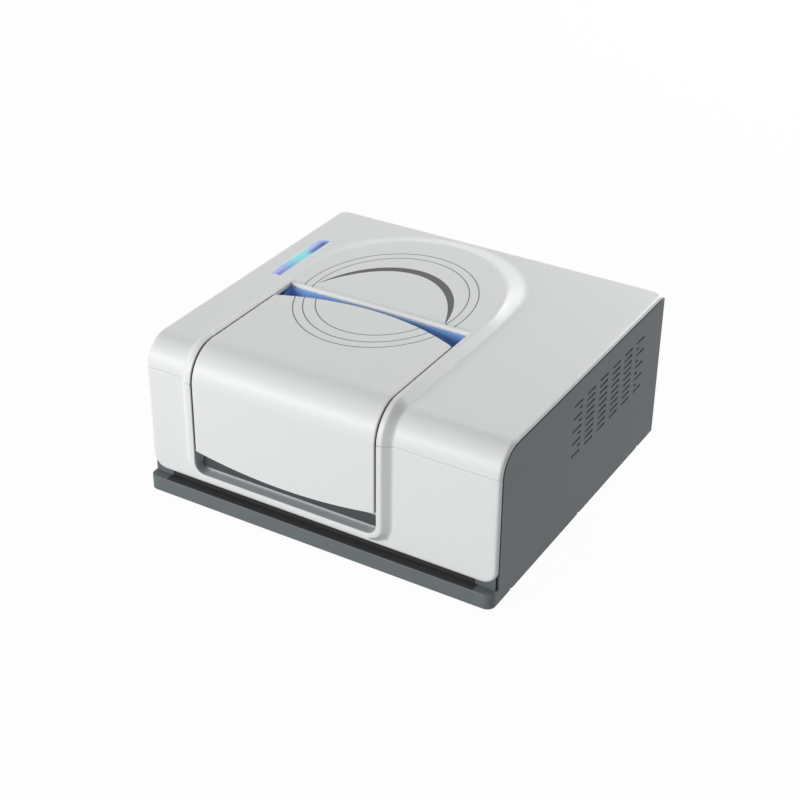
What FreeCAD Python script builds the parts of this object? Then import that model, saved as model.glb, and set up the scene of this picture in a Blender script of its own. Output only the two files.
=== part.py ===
import FreeCAD, Part
import math
import os
import Sketcher

# Benchtop infrared spectrometer: a folded steel tray carries an optics bench, a sample
# chamber and the electronics, under a moulded cover with a hinged lid in a raised collar.
# Millimetres. X to the right, front at -Y, Z up, origin under the middle of the footprint.

Vector = FreeCAD.Vector
X, Y, Z = Vector(1, 0, 0), Vector(0, 1, 0), Vector(0, 0, 1)

DIMENSIONS = [
    ("width", 450, "over the side panels"),
    ("depth", 422, "front lip to rear edge"),
    ("foot_rise", 6, "underside of the tray above the table"),
    ("lip_height", 18, "height of the tray's front lip"),
    ("lip_bevel", 1, "bevel along the top of the lip"),
    ("lip_corner", 10, "corner radius of the lip in plan"),
    ("gauge", 2.5, "steel sheet of the tray and side panels"),
    ("cover_rise", 190.5, "flat cover above the underside of the tray"),
    ("shell_wall", 3, "wall of the moulded cover"),
    ("side_wall", 2.5, "wall of the cover's side band"),
    ("shell_setback", 9.5, "front face behind the front lip"),
    ("shell_lift", 7, "shadow gap between lip and front panel"),
    ("front_radius", 35, "bend from the top to the front"),
    ("edge_radius", 4, "rounding of the cover's outer edges"),
    ("edge_band", 5, "white band along the side of the cover"),
    ("edge_gap", 1.5, "shadow gap between cover and side panel"),
    ("side_inset", 0.5, "cover inside the side panels"),
    ("parting_gap", 0.8, "seam between cover and front panel"),
    ("corner_round", 18, "lower corners of the front panel"),
    ("relief", 8, "height of the collar over the casing"),
    ("lid_offset", -38, "centre of the lid from the centre of the casing"),
    ("lid_width", 236, "lid"),
    ("lid_gap", 2, "gap between lid and collar"),
    ("rim_width", 7.5, "flat crest of the collar"),
    ("flank_width", 10, "sloping flank of the collar"),
    ("crest_centre", 20, "where the crest's arch begins"),
    ("crest_reach", 155, "depth of the crest's arch"),
    ("flank_centre", 84, "where the flank's arch begins"),
    ("flank_rear_gap", 4, "flat cover left behind the collar"),
    ("plateau_edge", -8, "front edge of the plateau behind the lid"),
    ("sill_rise", 42.4, "sill of the finger trough above the tray's underside"),
    ("sill_corner", 13, "lower corners of the lid opening"),
    ("liner_wall", 2, "wall of the finger trough"),
    ("crescent_half", 87.5, "half width of the crescent"),
    ("crescent_reach", 96, "depth of the crescent's outer edge"),
    ("crescent_inner_half", 94, "half width of the crescent's inner ellipse"),
    ("crescent_inner_reach", 139.5, "depth of the crescent's inner ellipse"),
    ("crescent_base", -4, "line through the crescent's tips"),
    ("crescent_drop", 56, "inner ellipse centre in front of the outer one"),
    ("crescent_shift", 2, "inner ellipse centre to the left of the outer one"),
    ("crescent_blunt", 2, "how far the crescent's sharp tips are cut back"),
    ("inlay_depth", 1.2, "depth of the crescent's recess"),
    ("inlay_gap", 0.15, "gap round inlays"),
    ("bar_width", 13.5, "light bar"),
    ("bar_length", 108, "light bar"),
    ("bar_from_side", 31.5, "centre of the light bar from the side of the casing"),
    ("bar_centre", 66, "centre of the light bar, front to back"),
    ("bar_corner", 5, "corner radius of the light bar"),
    ("bar_flange", 2.5, "flange of the light bar under the cover"),
    ("bar_board_margin", 12, "light bar's board beyond the bar at each end"),
    ("bar_board_drop", 5, "light bar's board under the cover"),
    ("boss_size", 7, "square bosses that carry the cover"),
    ("boss_centre", 25, "middle pair of the cover's bosses"),
    ("boss_pitch", 145, "from one pair of bosses to the next"),
    ("lid_skin", 3, "skin of the lid"),
    ("lid_skirt", 11, "depth of the lid's side skirts"),
    ("lid_lower", 61, "middle of the lid's lower edge above the tray's underside"),
    ("lid_lower_sag", 11, "rise of the lid's lower edge towards its ends"),
    ("lid_rear", -20.5, "middle of the lid's rear edge"),
    ("lid_rear_sag", 26.5, "how far the rear edge curves forward at its ends"),
    ("lid_soft_edge", 1, "bevel of the lid's side edges"),
    ("liner_gap", 0.3, "between the lid's skin and its liner"),
    ("liner_thickness", 3, "liner of the lid"),
    ("seal_thickness", 5, "chamber gasket"),
    ("tub_wall", 3, "walls of the sample chamber"),
    ("tub_floor", 64, "floor of the sample chamber above the tray's underside"),
    ("post_size", 10, "square posts under the chamber"),
    ("window_size", 40, "square windows behind the chamber's round ports"),
    ("window_proud", 4, "windows beyond the chamber's walls"),
    ("window_rebate", 2.5, "edge of the windows beyond the ports"),
    ("ring_wall", 4, "least wall of the frames round the windows"),
    ("tub_rear", -77, "rear face of the sample chamber"),
    ("tub_front_rise", 94, "front wall of the chamber above the tray's underside"),
    ("hinge_y", -40, "hinge axis"),
    ("hinge_rise", 184, "hinge axis above the tray's underside"),
    ("hinge_spread", 67, "hinges either side of the lid's centre"),
    ("pin_radius", 3, "hinge pin"),
    ("running_clearance", 0.05, "radial clearance of a running fit"),
    ("knuckle_radius", 7, "hinge knuckle"),
    ("knuckle_width", 11, "knuckle of the lid's arm"),
    ("ear_thickness", 4, "ear of the hinge bracket"),
    ("ear_gap", 0.5, "between knuckle and ear"),
    ("arm_pad", 24, "pad that fixes the arm under the lid"),
    ("bracket_foot", 3, "foot of the hinge bracket"),
    ("bracket_depth", 32, "foot of the hinge bracket, front to back"),
    ("channel_wall", 2, "wall of the hinge trough"),
    ("channel_floor", 152, "floor of the hinge trough above the tray's underside"),
    ("channel_front", -70, "front wall of the hinge trough"),
    ("channel_corner", 10, "inner corners of the hinge trough"),
    ("channel_light", 6.9, "white wall left showing over the hinge trough"),
    ("vent_first", -31, "front end of the first vent column"),
    ("vent_pitch", 33.35, "pitch of the vent columns"),
    ("vent_length", 21.2, "full vent slot"),
    ("vent_short", 6.8, "short vent slot"),
    ("vent_height", 2.8, "vent slot"),
    ("vent_top", 157.5, "first row above the tray's underside"),
    ("vent_row", 8.15, "pitch of the vent rows"),
    ("notch_pitch", 166, "pitch of the notches under the side panels"),
    ("notch_radius", 6, "notch"),
    ("beam_y", -118, "infrared beam through the chamber"),
    ("beam_rise", 114, "beam above the tray's underside"),
    ("bench_top", 26, "top of the optics bench above the tray's underside"),
    ("bench_plate", 10, "thickness of the optics bench"),
    ("bench_side", 8, "optics bench inside the casing's sides"),
    ("bench_from_front", 31, "optics bench behind the lip's face"),
    ("bench_from_rear", 111, "optics bench before the rear edge"),
    ("bench_floor", 4, "plate left under the bench's pockets"),
    ("bench_rib", 25, "ribs between the bench's pockets"),
    ("isolator_size", 16, "rubber isolators under the bench"),
    ("mirror_size", 32, "square mirrors"),
    ("mirror_thickness", 6, "mirrors"),
    ("mount_wall", 3, "mount round a mirror"),
    ("mount_depth", 12, "mount, front to back"),
    ("splitter_size", 36, "square beamsplitter"),
    ("splitter_from_side", 85, "beamsplitter from the casing's right side"),
    ("splitter_from_rear", 44, "beamsplitter before the rear edge of the bench"),
    ("collimator_from_side", 37, "source and its mirror from the casing's right side"),
    ("fixed_mirror_gap", 34, "fixed mirror behind the beamsplitter"),
    ("source_gap", 66, "source before its mirror"),
    ("source_size", 36, "source housing"),
    ("source_wall", 4, "source housing"),
    ("source_port", 18, "square port of the source"),
    ("element_radius", 2.5, "glowing rod of the source"),
    ("sink_depth", 18, "heat sink behind the source housing"),
    ("sink_plate", 4, "plate of the heat sink"),
    ("sink_fin", 2, "fin of the heat sink"),
    ("guide_size", 6, "square guide bars of the scanning mirror"),
    ("guide_spread", 14, "guide bars either side of the beam"),
    ("guide_drop", 52, "guide bars under the beam"),
    ("scan_travel", 6, "travel of the scanning mirror each way"),
    ("coil_size", 22, "voice coil"),
    ("coil_wall", 1.5, "voice coil"),
    ("coil_gap", 1, "between coil and magnet"),
    ("magnet_size", 34, "magnet"),
    ("laser_radius", 14, "reference laser"),
    ("laser_gap", 8, "laser before the heat sink"),
    ("laser_inset", 6, "laser behind the front edge of the bench"),
    ("laser_from_side", 29, "reference laser from the casing's right side"),
    ("laser_rise", 26, "axis of the laser over the bench"),
    ("detector_from_side", 29, "detector and its mirror from the casing's left side"),
    ("detector_size", 40, "detector module"),
    ("detector_gap", 58, "detector behind its mirror"),
    ("detector_port", 16, "square port of the detector"),
    ("desiccant_size", 42, "desiccant cartridge"),
    ("desiccant_height", 70, "desiccant cartridge"),
    ("foot_size", 22, "square rubber feet"),
    ("foot_inset_x", 35, "foot from the side"),
    ("foot_inset_y", 36, "foot from the front and rear"),
    ("panel_sheet", 2, "sheet of the rear panel"),
    ("panel_recess", 3, "rear panel inside the rear edge"),
    ("inlet_from_side", 39, "mains inlet from the casing's left side"),
    ("inlet_rise", 98, "mains inlet above the tray's underside"),
    ("switch_pitch", 38, "switch beside the mains inlet"),
    ("board_rise", 44, "main board above the tray's underside"),
    ("board_sheet", 1.6, "main board"),
    ("board_from_left", 113, "main board from the casing's left side"),
    ("board_from_right", 165, "main board from the casing's right side"),
    ("board_depth", 87, "main board, front to back"),
    ("usb_from_edge", 52, "USB socket from the edge of the board"),
    ("network_from_edge", 24, "network socket from the edge of the board"),
    ("post_width", 6, "square posts of the main board"),
    ("supply_from_side", 11, "power supply from the casing's left side"),
    ("supply_width", 90, "power supply"),
    ("supply_depth", 58, "power supply"),
    ("supply_height", 41.5, "power supply"),
    ("supply_from_panel", 46, "power supply before the rear panel"),
    ("fan_from_side", 75, "fan from the casing's right side"),
    ("fan_rise", 90, "fan above the tray's underside"),
    ("fan_size", 40, "fan frame"),
    ("fan_depth", 20, "fan frame"),
    ("fan_bore", 19, "radius of the fan's bore"),
]

doc = FreeCAD.newDocument("infrared_spectrometer")
sheet = doc.addObject("Spreadsheet::Sheet", "Sizes")
for row, (alias, number, note) in enumerate(DIMENSIONS, start=1):
    sheet.set(f"A{row}", note)
    sheet.set(f"B{row}", str(number))
    sheet.setAlias(f"B{row}", alias)
doc.recompute()


class Size:
    """A size that knows its value in millimetres and the sheet formula that gives it."""

    def __init__(self, number, formula):
        self.number = float(number)
        self.formula = formula

    def __float__(self):
        return self.number

    def joined(self, sign, other, number):
        text = other.formula if isinstance(other, Size) else f"({other})"
        return Size(number, f"({self.formula} {sign} {text})")

    def __add__(self, other):
        return self.joined("+", other, self.number + float(other))

    def __sub__(self, other):
        return self.joined("-", other, self.number - float(other))

    def __mul__(self, other):
        return self.joined("*", other, self.number * float(other))

    def __truediv__(self, other):
        return self.joined("/", other, self.number / float(other))

    def __radd__(self, other):
        return as_size(other) + self

    def __rsub__(self, other):
        return as_size(other) - self

    def __rmul__(self, other):
        return as_size(other) * self

    def __neg__(self):
        return self * -1


class Sizes:
    """The sheet's sizes under their own names."""


s = Sizes()
for alias, number, note in DIMENSIONS:
    setattr(s, alias, Size(sheet.get(alias), f"Sizes.{alias}"))

subparts = []


def bind(feature, name, size):
    """Ties one property to the sheet, or sets it where it is a plain number."""
    formula = size.formula if isinstance(size, Size) else str(size)
    feature.setExpression(name, formula)


def place(feature, x, y, z):
    for axis, size in zip("xyz", (x, y, z)):
        bind(feature, f"Placement.Base.{axis}", size)


def block(name, x, y, z):
    """A box between pairs of limits."""
    solid = doc.addObject("Part::Box", name)
    for side, (low, high) in zip(("Length", "Width", "Height"), (x, y, z)):
        bind(solid, side, as_size(high) - low)
    place(solid, x[0], y[0], z[0])
    return solid


def as_size(value):
    return value if isinstance(value, Size) else Size(value, f"({value})")


def rod(name, radius, x, y, z):
    """A round bar; the coordinate given as a pair of limits is the one it runs along."""
    solid = doc.addObject("Part::Cylinder", name)
    spans = [coordinate for coordinate in (x, y, z) if isinstance(coordinate, tuple)]
    direction = (X, Y, Z)[[isinstance(c, tuple) for c in (x, y, z)].index(True)]
    low, high = spans[0]
    solid.Placement = FreeCAD.Placement(Vector(0, 0, 0), FreeCAD.Rotation(Z, direction))
    bind(solid, "Radius", radius)
    bind(solid, "Height", as_size(high) - low)
    place(solid, *[c[0] if isinstance(c, tuple) else c for c in (x, y, z)])
    return solid


def join(name, *pieces):
    fused = doc.addObject("Part::MultiFuse", name)
    fused.Shapes = list(pieces)
    return fused


def remove(name, base, *tools):
    cut = doc.addObject("Part::Cut", name)
    cut.Base = base
    cut.Tool = tools[0] if len(tools) == 1 else join(f"{name}_tools", *tools)
    return cut


def overlap(name, base, tool):
    common = doc.addObject("Part::Common", name)
    common.Base = base
    common.Tool = tool
    return common


def rounded(name, base, radius, chosen):
    """Fillets the edges for which chosen(edge) is true."""
    doc.recompute()
    fillet = doc.addObject("Part::Fillet", name)
    fillet.Base = base
    edges = [number for number, edge in enumerate(base.Shape.Edges, start=1) if chosen(edge)]
    fillet.Edges = [(number, float(radius), float(radius)) for number in edges]
    return fillet


def bevelled(name, base, width, chosen):
    """Bevels the edges for which chosen(edge) is true."""
    doc.recompute()
    bevel = doc.addObject("Part::Chamfer", name)
    bevel.Base = base
    edges = [number for number, edge in enumerate(base.Shape.Edges, start=1) if chosen(edge)]
    bevel.Edges = [(number, float(width), float(width)) for number in edges]
    return bevel


def polygon_bar(name, radius, count, centre_x, y, centre_z):
    """A bar along Y with a regular section, its corners at the given radius."""
    corners = []
    for number in range(count):
        angle = 2 * math.pi * (number + 0.5) / count
        corners.append(Vector(float(centre_x) + float(radius) * math.sin(angle), float(y[0]),
                              float(centre_z) + float(radius) * math.cos(angle)))
    return prism(name, outline(f"{name}_outline", wire_of(corners)), as_size(y[1]) - y[0], Y)


def wire_of(steps):
    """A closed wire; each step is a point, or a pair of points for an arc's middle and end."""
    edges = []
    here = steps[0]
    for step in list(steps[1:]) + [steps[0]]:
        if isinstance(step, tuple):
            edges.append(Part.Arc(here, *step).toShape())
            here = step[1]
        elif here.distanceToPoint(step) > 1e-6:
            edges.append(Part.LineSegment(here, step).toShape())
            here = step
    return Part.Wire(edges)


def outline(name, *wires):
    """A flat face inside the first wire and outside the others."""
    feature = doc.addObject("Part::Feature", name)
    feature.Shape = Part.makeFace(list(wires), "Part::FaceMakerBullseye")
    return feature


def prism(name, face, length, direction):
    """Extrudes a flat outline."""
    solid = doc.addObject("Part::Extrusion", name)
    solid.Base = face
    solid.DirMode = "Custom"
    solid.Dir = direction
    solid.Solid = True
    bind(solid, "LengthFwd", length)
    return solid


def loft(name, *wires):
    """A ruled solid between closed wires."""
    sections = []
    for number, wire in enumerate(wires, start=1):
        section = doc.addObject("Part::Feature", f"{name}_section_{number}")
        section.Shape = wire
        sections.append(section)
    solid = doc.addObject("Part::Loft", name)
    solid.Sections = sections
    solid.Solid = True
    solid.Ruled = True
    return solid


def keep(label, feature):
    """Registers a finished sub-part under the name of its node."""
    feature.Label = label
    subparts.append(feature)
    return feature


def sketch_on(body, role, name):
    plane = [item for item in body.Origin.OriginFeatures if item.Role == role][0]
    sketch = body.newObject("Sketcher::SketchObject", name)
    sketch.AttachmentSupport = [(plane, "")]
    sketch.MapMode = "FlatFace"
    return sketch


def sketch_rectangle(sketch, left, low, width, height):
    """A rectangle held to the sketch's origin by four sizes from the sheet."""
    x0, y0 = float(left), float(low)
    x1, y1 = x0 + float(width), y0 + float(height)
    corners = [Vector(x0, y0, 0), Vector(x1, y0, 0), Vector(x1, y1, 0), Vector(x0, y1, 0)]
    first = sketch.GeometryCount
    for number in range(4):
        sketch.addGeometry(Part.LineSegment(corners[number], corners[(number + 1) % 4]), False)
    for number in range(4):
        joint = Sketcher.Constraint("Coincident", first + number, 2, first + (number + 1) % 4, 1)
        sketch.addConstraint(joint)
    for number, kind in enumerate(("Horizontal", "Vertical", "Horizontal", "Vertical")):
        sketch.addConstraint(Sketcher.Constraint(kind, first + number))
    held = [("DistanceX", -1, 1, first, 1, x0, left), ("DistanceY", -1, 1, first, 1, y0, low),
            ("DistanceX", first, 1, first, 2, x1 - x0, width),
            ("DistanceY", first + 1, 1, first + 1, 2, y1 - y0, height)]
    for kind, geo_a, pos_a, geo_b, pos_b, number, size in held:
        place_in_list = sketch.addConstraint(
            Sketcher.Constraint(kind, geo_a, pos_a, geo_b, pos_b, number))
        if isinstance(size, Size):
            sketch.setExpression(f"Constraints[{place_in_list}]", size.formula)


# Levels and lines that the pieces share

front = -s.depth / 2
rear = s.depth / 2
tray_top = s.foot_rise + s.lip_height
tray_floor = s.foot_rise + s.gauge
cover_top = s.foot_rise + s.cover_rise
collar_top = cover_top + s.relief
shell_front = front + s.shell_setback
shell_rear = rear
collar_front = shell_front - s.relief
bend_y = shell_front + s.front_radius
bend_z = cover_top - s.front_radius
collar_radius = s.front_radius + s.relief
shell_half = s.width / 2 - s.side_inset
panel_inner = s.width / 2 - s.gauge
shell_low = tray_top + s.shell_lift
lid_half = s.lid_width / 2
opening_half = lid_half + s.lid_gap
opening_left = s.lid_offset - opening_half
opening_right = s.lid_offset + opening_half
sill = s.foot_rise + s.sill_rise
beam_z = s.foot_rise + s.beam_rise
bench_z = s.foot_rise + s.bench_top
panel_face = rear - s.panel_recess
panel_back = panel_face - s.panel_sheet


def layer(near, far, back, low, x):
    """Outline between two depths under the collar's surface, from its rear down the front.

    The surface runs level, bends over the front and drops; each depth is a parallel curve.
    """
    top, bend, centre = float(collar_top), float(collar_radius), Vector(x, float(bend_y), float(bend_z))
    slant = math.sqrt(0.5)

    def at(depth, y, z):
        return centre + Vector(0, y * (bend - depth), z * (bend - depth))

    def drop(depth):
        return Vector(x, float(collar_front) + depth, low)

    return wire_of([
        Vector(x, back, top - near), at(near, 0, 1), (at(near, -slant, slant), at(near, -1, 0)),
        drop(near), drop(far),
        at(far, -1, 0), (at(far, -slant, slant), at(far, 0, 1)), Vector(x, back, top - far)])


def inside(depth, back, low, x):
    """Outline of all that lies deeper than one depth under the collar's surface."""
    top, bend, centre = float(collar_top), float(collar_radius), Vector(x, float(bend_y), float(bend_z))
    slant = math.sqrt(0.5) * (bend - depth)
    front_line = float(collar_front) + depth
    return wire_of([
        Vector(x, back, top - depth), Vector(x, centre.y, top - depth),
        (centre + Vector(0, -slant, slant), Vector(x, front_line, centre.z)),
        Vector(x, front_line, low), Vector(x, back, low)])


def across(name, wire, length):
    return prism(name, outline(f"{name}_outline", wire), length, X)


def along_outer_edge(half, depth):
    """Chooses the edges of a layer's outer curve at its two ends."""
    def chosen(edge):
        centre = Vector(0, float(bend_y), float(bend_z))
        for fraction in (0.0, 0.5, 1.0):
            span = edge.ParameterRange
            p = edge.valueAt(span[0] + fraction * (span[1] - span[0]))
            if abs(abs(p.x - half[0]) - half[1]) > 0.01:
                return False
            if p.y >= centre.y - 0.01:
                reach = float(collar_top) - p.z
            elif p.z <= centre.z + 0.01:
                reach = p.y - float(collar_front)
            else:
                reach = float(collar_radius) - math.hypot(p.y - centre.y, p.z - centre.z)
            if abs(reach - depth) > 0.01:
                return False
        return True
    return chosen


def upright(edge):
    return abs(edge.tangentAt(edge.FirstParameter).z) > 0.999 and edge.Curve.TypeId == "Part::GeomLine"


# Tray with its front lip and the two side panels, folded from one sheet

tray_block = block("tray_block", (-s.width / 2, s.width / 2), (front, rear), (s.foot_rise, tray_top))
tray_round = rounded("tray_round", tray_block, s.lip_corner,
                     lambda edge: upright(edge) and edge.Vertexes[0].Y < 0)
tray_soft = bevelled("tray_soft", tray_round, s.lip_bevel,
                    lambda edge: abs(edge.BoundBox.ZMin - float(tray_top)) < 0.01
                    and abs(edge.BoundBox.ZMax - float(tray_top)) < 0.01
                    and edge.BoundBox.YMax < float(front) + float(s.lip_corner) + 0.1)
upstand_y = shell_front + s.edge_band
lip_back = upstand_y + s.gauge
tray_well = block("tray_well", (-panel_inner, panel_inner), (lip_back, rear - s.gauge),
                  (tray_floor, tray_top + 1))
lip_hollow = block("lip_hollow", (-s.width / 2 + s.lip_corner, s.width / 2 - s.lip_corner),
                   (front + s.gauge, lip_back + 1), (tray_floor, tray_top - s.gauge))
tray = remove("tray", tray_soft, tray_well, lip_hollow)
upstand = block("upstand", (-s.width / 2 + 24, s.width / 2 - 24), (upstand_y, lip_back),
                (tray_top - s.gauge, shell_low + 9))

panel_depth = s.relief + s.edge_band + s.edge_gap
side_panels = []
for name, left in (("left_panel", -s.width / 2), ("right_panel", panel_inner)):
    side_outline = inside(float(panel_depth), float(rear), float(tray_top) - 1, float(left))
    side_panels.append(across(name, side_outline, s.gauge))
    seat_left = left + s.gauge if name == "left_panel" else left - 14
    side_panels.append(block(f"{name}_flange", (seat_left, seat_left + 14),
                             (bend_y, panel_back - 1),
                             (collar_top - panel_depth - s.gauge, collar_top - panel_depth)))

vents = []
for column in range(6):
    for level in range(9):
        is_short = column in (0, 5) and level % 2 == 1
        start = s.vent_first + s.vent_pitch * column
        end = start + s.vent_length
        if is_short and column == 0:
            start = end - s.vent_short
        if is_short and column == 5:
            end = start + s.vent_short
        height = s.foot_rise + s.vent_top - s.vent_row * level
        vents.append(block(f"vent_{column}_{level}", (panel_inner - 1, s.width / 2 + 1), (start, end),
                           (height - s.vent_height / 2, height + s.vent_height / 2)))
for step in (-1, 0, 1):
    for side in (-1, 1):
        edge_x = s.width / 2 * side
        vents.append(rod(f"notch_{step + 1}_{side + 1}", s.notch_radius,
                         (edge_x - s.gauge - 1, edge_x + s.gauge + 1), s.notch_pitch * step,
                         s.foot_rise - 2))

foot_places = [(x, y) for x in (-1, 1) for y in (-1, 1)]
foot_x = s.width / 2 - s.foot_inset_x
foot_y = s.depth / 2 - s.foot_inset_y
folded = join("folded_chassis", tray, upstand, *side_panels)
keep("base_chassis", remove("base_chassis_cut", folded, *vents))
foot_half = s.foot_size / 2
keep("rubber_feet", join("feet", *[
    block(f"foot_{n}", (foot_x * x - foot_half, foot_x * x + foot_half),
          (foot_y * y - foot_half, foot_y * y + foot_half), (0, s.foot_rise))
    for n, (x, y) in enumerate(foot_places)]))


# Raised collar: crest and flank outlines on the top and on the front

def arch(half, start, reach, z):
    """Straight sides from the bend back to the arch, closed by half an ellipse."""
    cx, y0 = float(s.lid_offset), float(bend_y)
    a, y1, b = float(half), float(start), float(reach)
    curve = Part.Ellipse(Vector(0, b, 0), Vector(a, 0, 0), Vector(0, 0, 0)) if b > a else \
        Part.Ellipse(Vector(a, 0, 0), Vector(0, b, 0), Vector(0, 0, 0))
    first, last = (-math.pi / 2, math.pi / 2) if b > a else (0, math.pi)
    rise = curve.toShape(first, last)
    rise.translate(Vector(cx, y1, z))
    ends = sorted(rise.Vertexes, key=lambda vertex: vertex.X)
    left, right = ends[0].Point, ends[-1].Point
    edges = [Part.LineSegment(Vector(cx - a, y0, z), Vector(cx + a, y0, z)).toShape(),
             Part.LineSegment(Vector(cx + a, y0, z), right).toShape(), rise,
             Part.LineSegment(left, Vector(cx - a, y0, z)).toShape()]
    return Part.Wire(edges)


def doorway(half, low, high, corner, y):
    """Upright U outline with rounded lower corners, closed by a level top."""
    cx, slant = float(s.lid_offset), 1 - math.sqrt(0.5)
    a, z0, z1, r = float(half), float(low), float(high), float(corner)
    return wire_of([
        Vector(cx - a, y, z1), Vector(cx - a, y, z0 + r),
        (Vector(cx - a + r * slant, y, z0 + r * slant), Vector(cx - a + r, y, z0)),
        Vector(cx + a - r, y, z0),
        (Vector(cx + a - r * slant, y, z0 + r * slant), Vector(cx + a, y, z0 + r)),
        Vector(cx + a, y, z1)])


crest_half = opening_half + s.rim_width
flank_half = crest_half + s.flank_width
flank_reach = rear - s.flank_rear_gap - s.flank_centre
collar_crown = loft("collar_crown",
                    arch(flank_half, s.flank_centre, flank_reach, float(cover_top)),
                    arch(crest_half, s.crest_centre, s.crest_reach, float(collar_top)))
bend_section = wire_of([
    Vector(float(s.lid_offset - flank_half), float(bend_y), float(cover_top - 1)),
    Vector(float(s.lid_offset - flank_half), float(bend_y), float(cover_top)),
    Vector(float(s.lid_offset - crest_half), float(bend_y), float(collar_top)),
    Vector(float(s.lid_offset + crest_half), float(bend_y), float(collar_top)),
    Vector(float(s.lid_offset + flank_half), float(bend_y), float(cover_top)),
    Vector(float(s.lid_offset + flank_half), float(bend_y), float(cover_top - 1))])
collar_bend = doc.addObject("Part::Revolution", "collar_bend")
collar_bend.Source = outline("collar_bend_outline", bend_section)
collar_bend.Axis = X
collar_bend.Base = Vector(0, float(bend_y), float(bend_z))
collar_bend.Angle = 90
collar_bend.Solid = True


# Moulded top cover

wide = shell_half * 2
cover_band = across("cover_band", layer(float(s.relief), float(s.relief + s.edge_band), float(shell_rear),
                                        float(bend_z), -float(shell_half)), wide)


def cover_outer(edge):
    on_side = along_outer_edge((0, float(shell_half)), float(s.relief))(edge)
    box = edge.BoundBox
    on_back = box.YMin > float(shell_rear) - 0.01 and box.ZMin > float(cover_top) - 0.01
    return on_side or on_back


cover_skin = rounded("cover_skin", cover_band, s.edge_radius, cover_outer)
cavity_half = shell_half - s.side_wall
cover_cavity = across("cover_cavity", inside(float(s.relief + s.shell_wall), float(shell_rear - s.shell_wall),
                                             float(bend_z) - 1, -float(cavity_half)), cavity_half * 2)
cover_hollow = remove("cover_hollow", cover_skin, cover_cavity)

plateau_void = loft("plateau_void",
                    arch(crest_half - s.shell_wall, s.crest_centre, s.crest_reach - s.shell_wall,
                         float(cover_top - s.shell_wall - 1)),
                    arch(crest_half - s.shell_wall, s.crest_centre, s.crest_reach - s.shell_wall,
                         float(collar_top - s.shell_wall)))
void_front = block("void_front", (s.lid_offset - flank_half, s.lid_offset + flank_half),
                   (bend_y - 1, s.plateau_edge + s.shell_wall), (cover_top - 9, collar_top + 1))
plateau_hollow = remove("plateau_hollow", plateau_void, void_front)

lid_opening = block("lid_opening", (opening_left, opening_right), (collar_front - 5, s.plateau_edge),
                    (bend_z - 5, collar_top + 5))


def crescent_shape(name, gap, low, height):
    """Between two ellipses that cross at the crescent's tips, behind the plateau's edge."""
    cx = float(s.lid_offset) - 1.5
    outer = Part.Ellipse(Vector(0, float(s.crescent_reach) - gap, 0),
                         Vector(float(s.crescent_half) - gap, 0, 0), Vector(0, 0, 0)).toShape()
    inner = Part.Ellipse(Vector(0, float(s.crescent_inner_reach) + gap, 0),
                         Vector(float(s.crescent_inner_half) + gap, 0, 0), Vector(0, 0, 0)).toShape()
    outer.translate(Vector(cx, float(s.crescent_base), float(low)))
    inner.translate(Vector(cx - float(s.crescent_shift), float(s.crescent_base - s.crescent_drop), float(low)))
    full = prism(f"{name}_outer", outline(f"{name}_outer_outline", Part.Wire([outer])), height, Z)
    bite = prism(f"{name}_inner", outline(f"{name}_inner_outline", Part.Wire([inner])), height, Z)
    crescent = remove(f"{name}_lune", full, bite)
    ahead = block(f"{name}_ahead", (s.lid_offset - s.lid_width, s.lid_offset + s.lid_width),
                  (s.plateau_edge - s.lid_width, s.crescent_base + s.crescent_blunt + gap),
                  (low - 1, low + height + 1))
    return remove(name, crescent, ahead)


crescent_recess = crescent_shape("crescent_recess", 0.0, collar_top - s.inlay_depth, s.inlay_depth + 1)
bar_x = -shell_half + s.bar_from_side - s.side_inset


def bar_prism(name, grow, z):
    """Rounded bar on the cover, larger than the light bar by grow all round."""
    blank = block(f"{name}_blank", (bar_x - s.bar_width / 2 - grow, bar_x + s.bar_width / 2 + grow),
                  (s.bar_centre - s.bar_length / 2 - grow, s.bar_centre + s.bar_length / 2 + grow), z)
    return rounded(name, blank, s.bar_corner, upright)


bar_slot = bar_prism("bar_slot", s.inlay_gap, (cover_top - s.shell_wall - 1, cover_top + 1))
cover_under = cover_top - s.shell_wall
flange_top = collar_top - panel_depth
bosses = []
for side in (-1, 1):
    boss_x = (panel_inner - s.boss_size) * side
    for step in (-1, 0, 1):
        boss_y = s.boss_centre + s.boss_pitch * step
        bosses.append(block(f"cover_boss_{side + 1}_{step + 1}",
                            (boss_x - s.boss_size / 2, boss_x + s.boss_size / 2),
                            (boss_y - s.boss_size / 2, boss_y + s.boss_size / 2),
                            (flange_top, cover_under + 1)))
board_reach = s.bar_length / 2 + s.bar_board_margin
for step in (-1, 1):
    boss_y = s.bar_centre + (board_reach - s.boss_size / 2) * step
    bosses.append(block(f"bar_boss_{step + 1}", (bar_x - s.boss_size / 4, bar_x + s.boss_size / 4),
                        (boss_y - s.boss_size / 4, boss_y + s.boss_size / 4),
                        (cover_under - s.bar_board_drop, cover_under + 1)))
cover_solid = join("cover_solid", cover_hollow, collar_crown, collar_bend, *bosses)
front_trim = block("front_trim", (-s.width, s.width), (collar_front - 5, bend_y + 1),
                   (bend_z - 20, bend_z))
keep("top_cover", remove("top_cover_cut", cover_solid, plateau_hollow, lid_opening, crescent_recess,
                         bar_slot, front_trim))
keep("crescent_inlay", crescent_shape("crescent_body", float(s.inlay_gap), collar_top - s.inlay_depth,
                                      s.inlay_depth - 0.1))


# Lower front panel with the lower half of the collar

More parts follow.
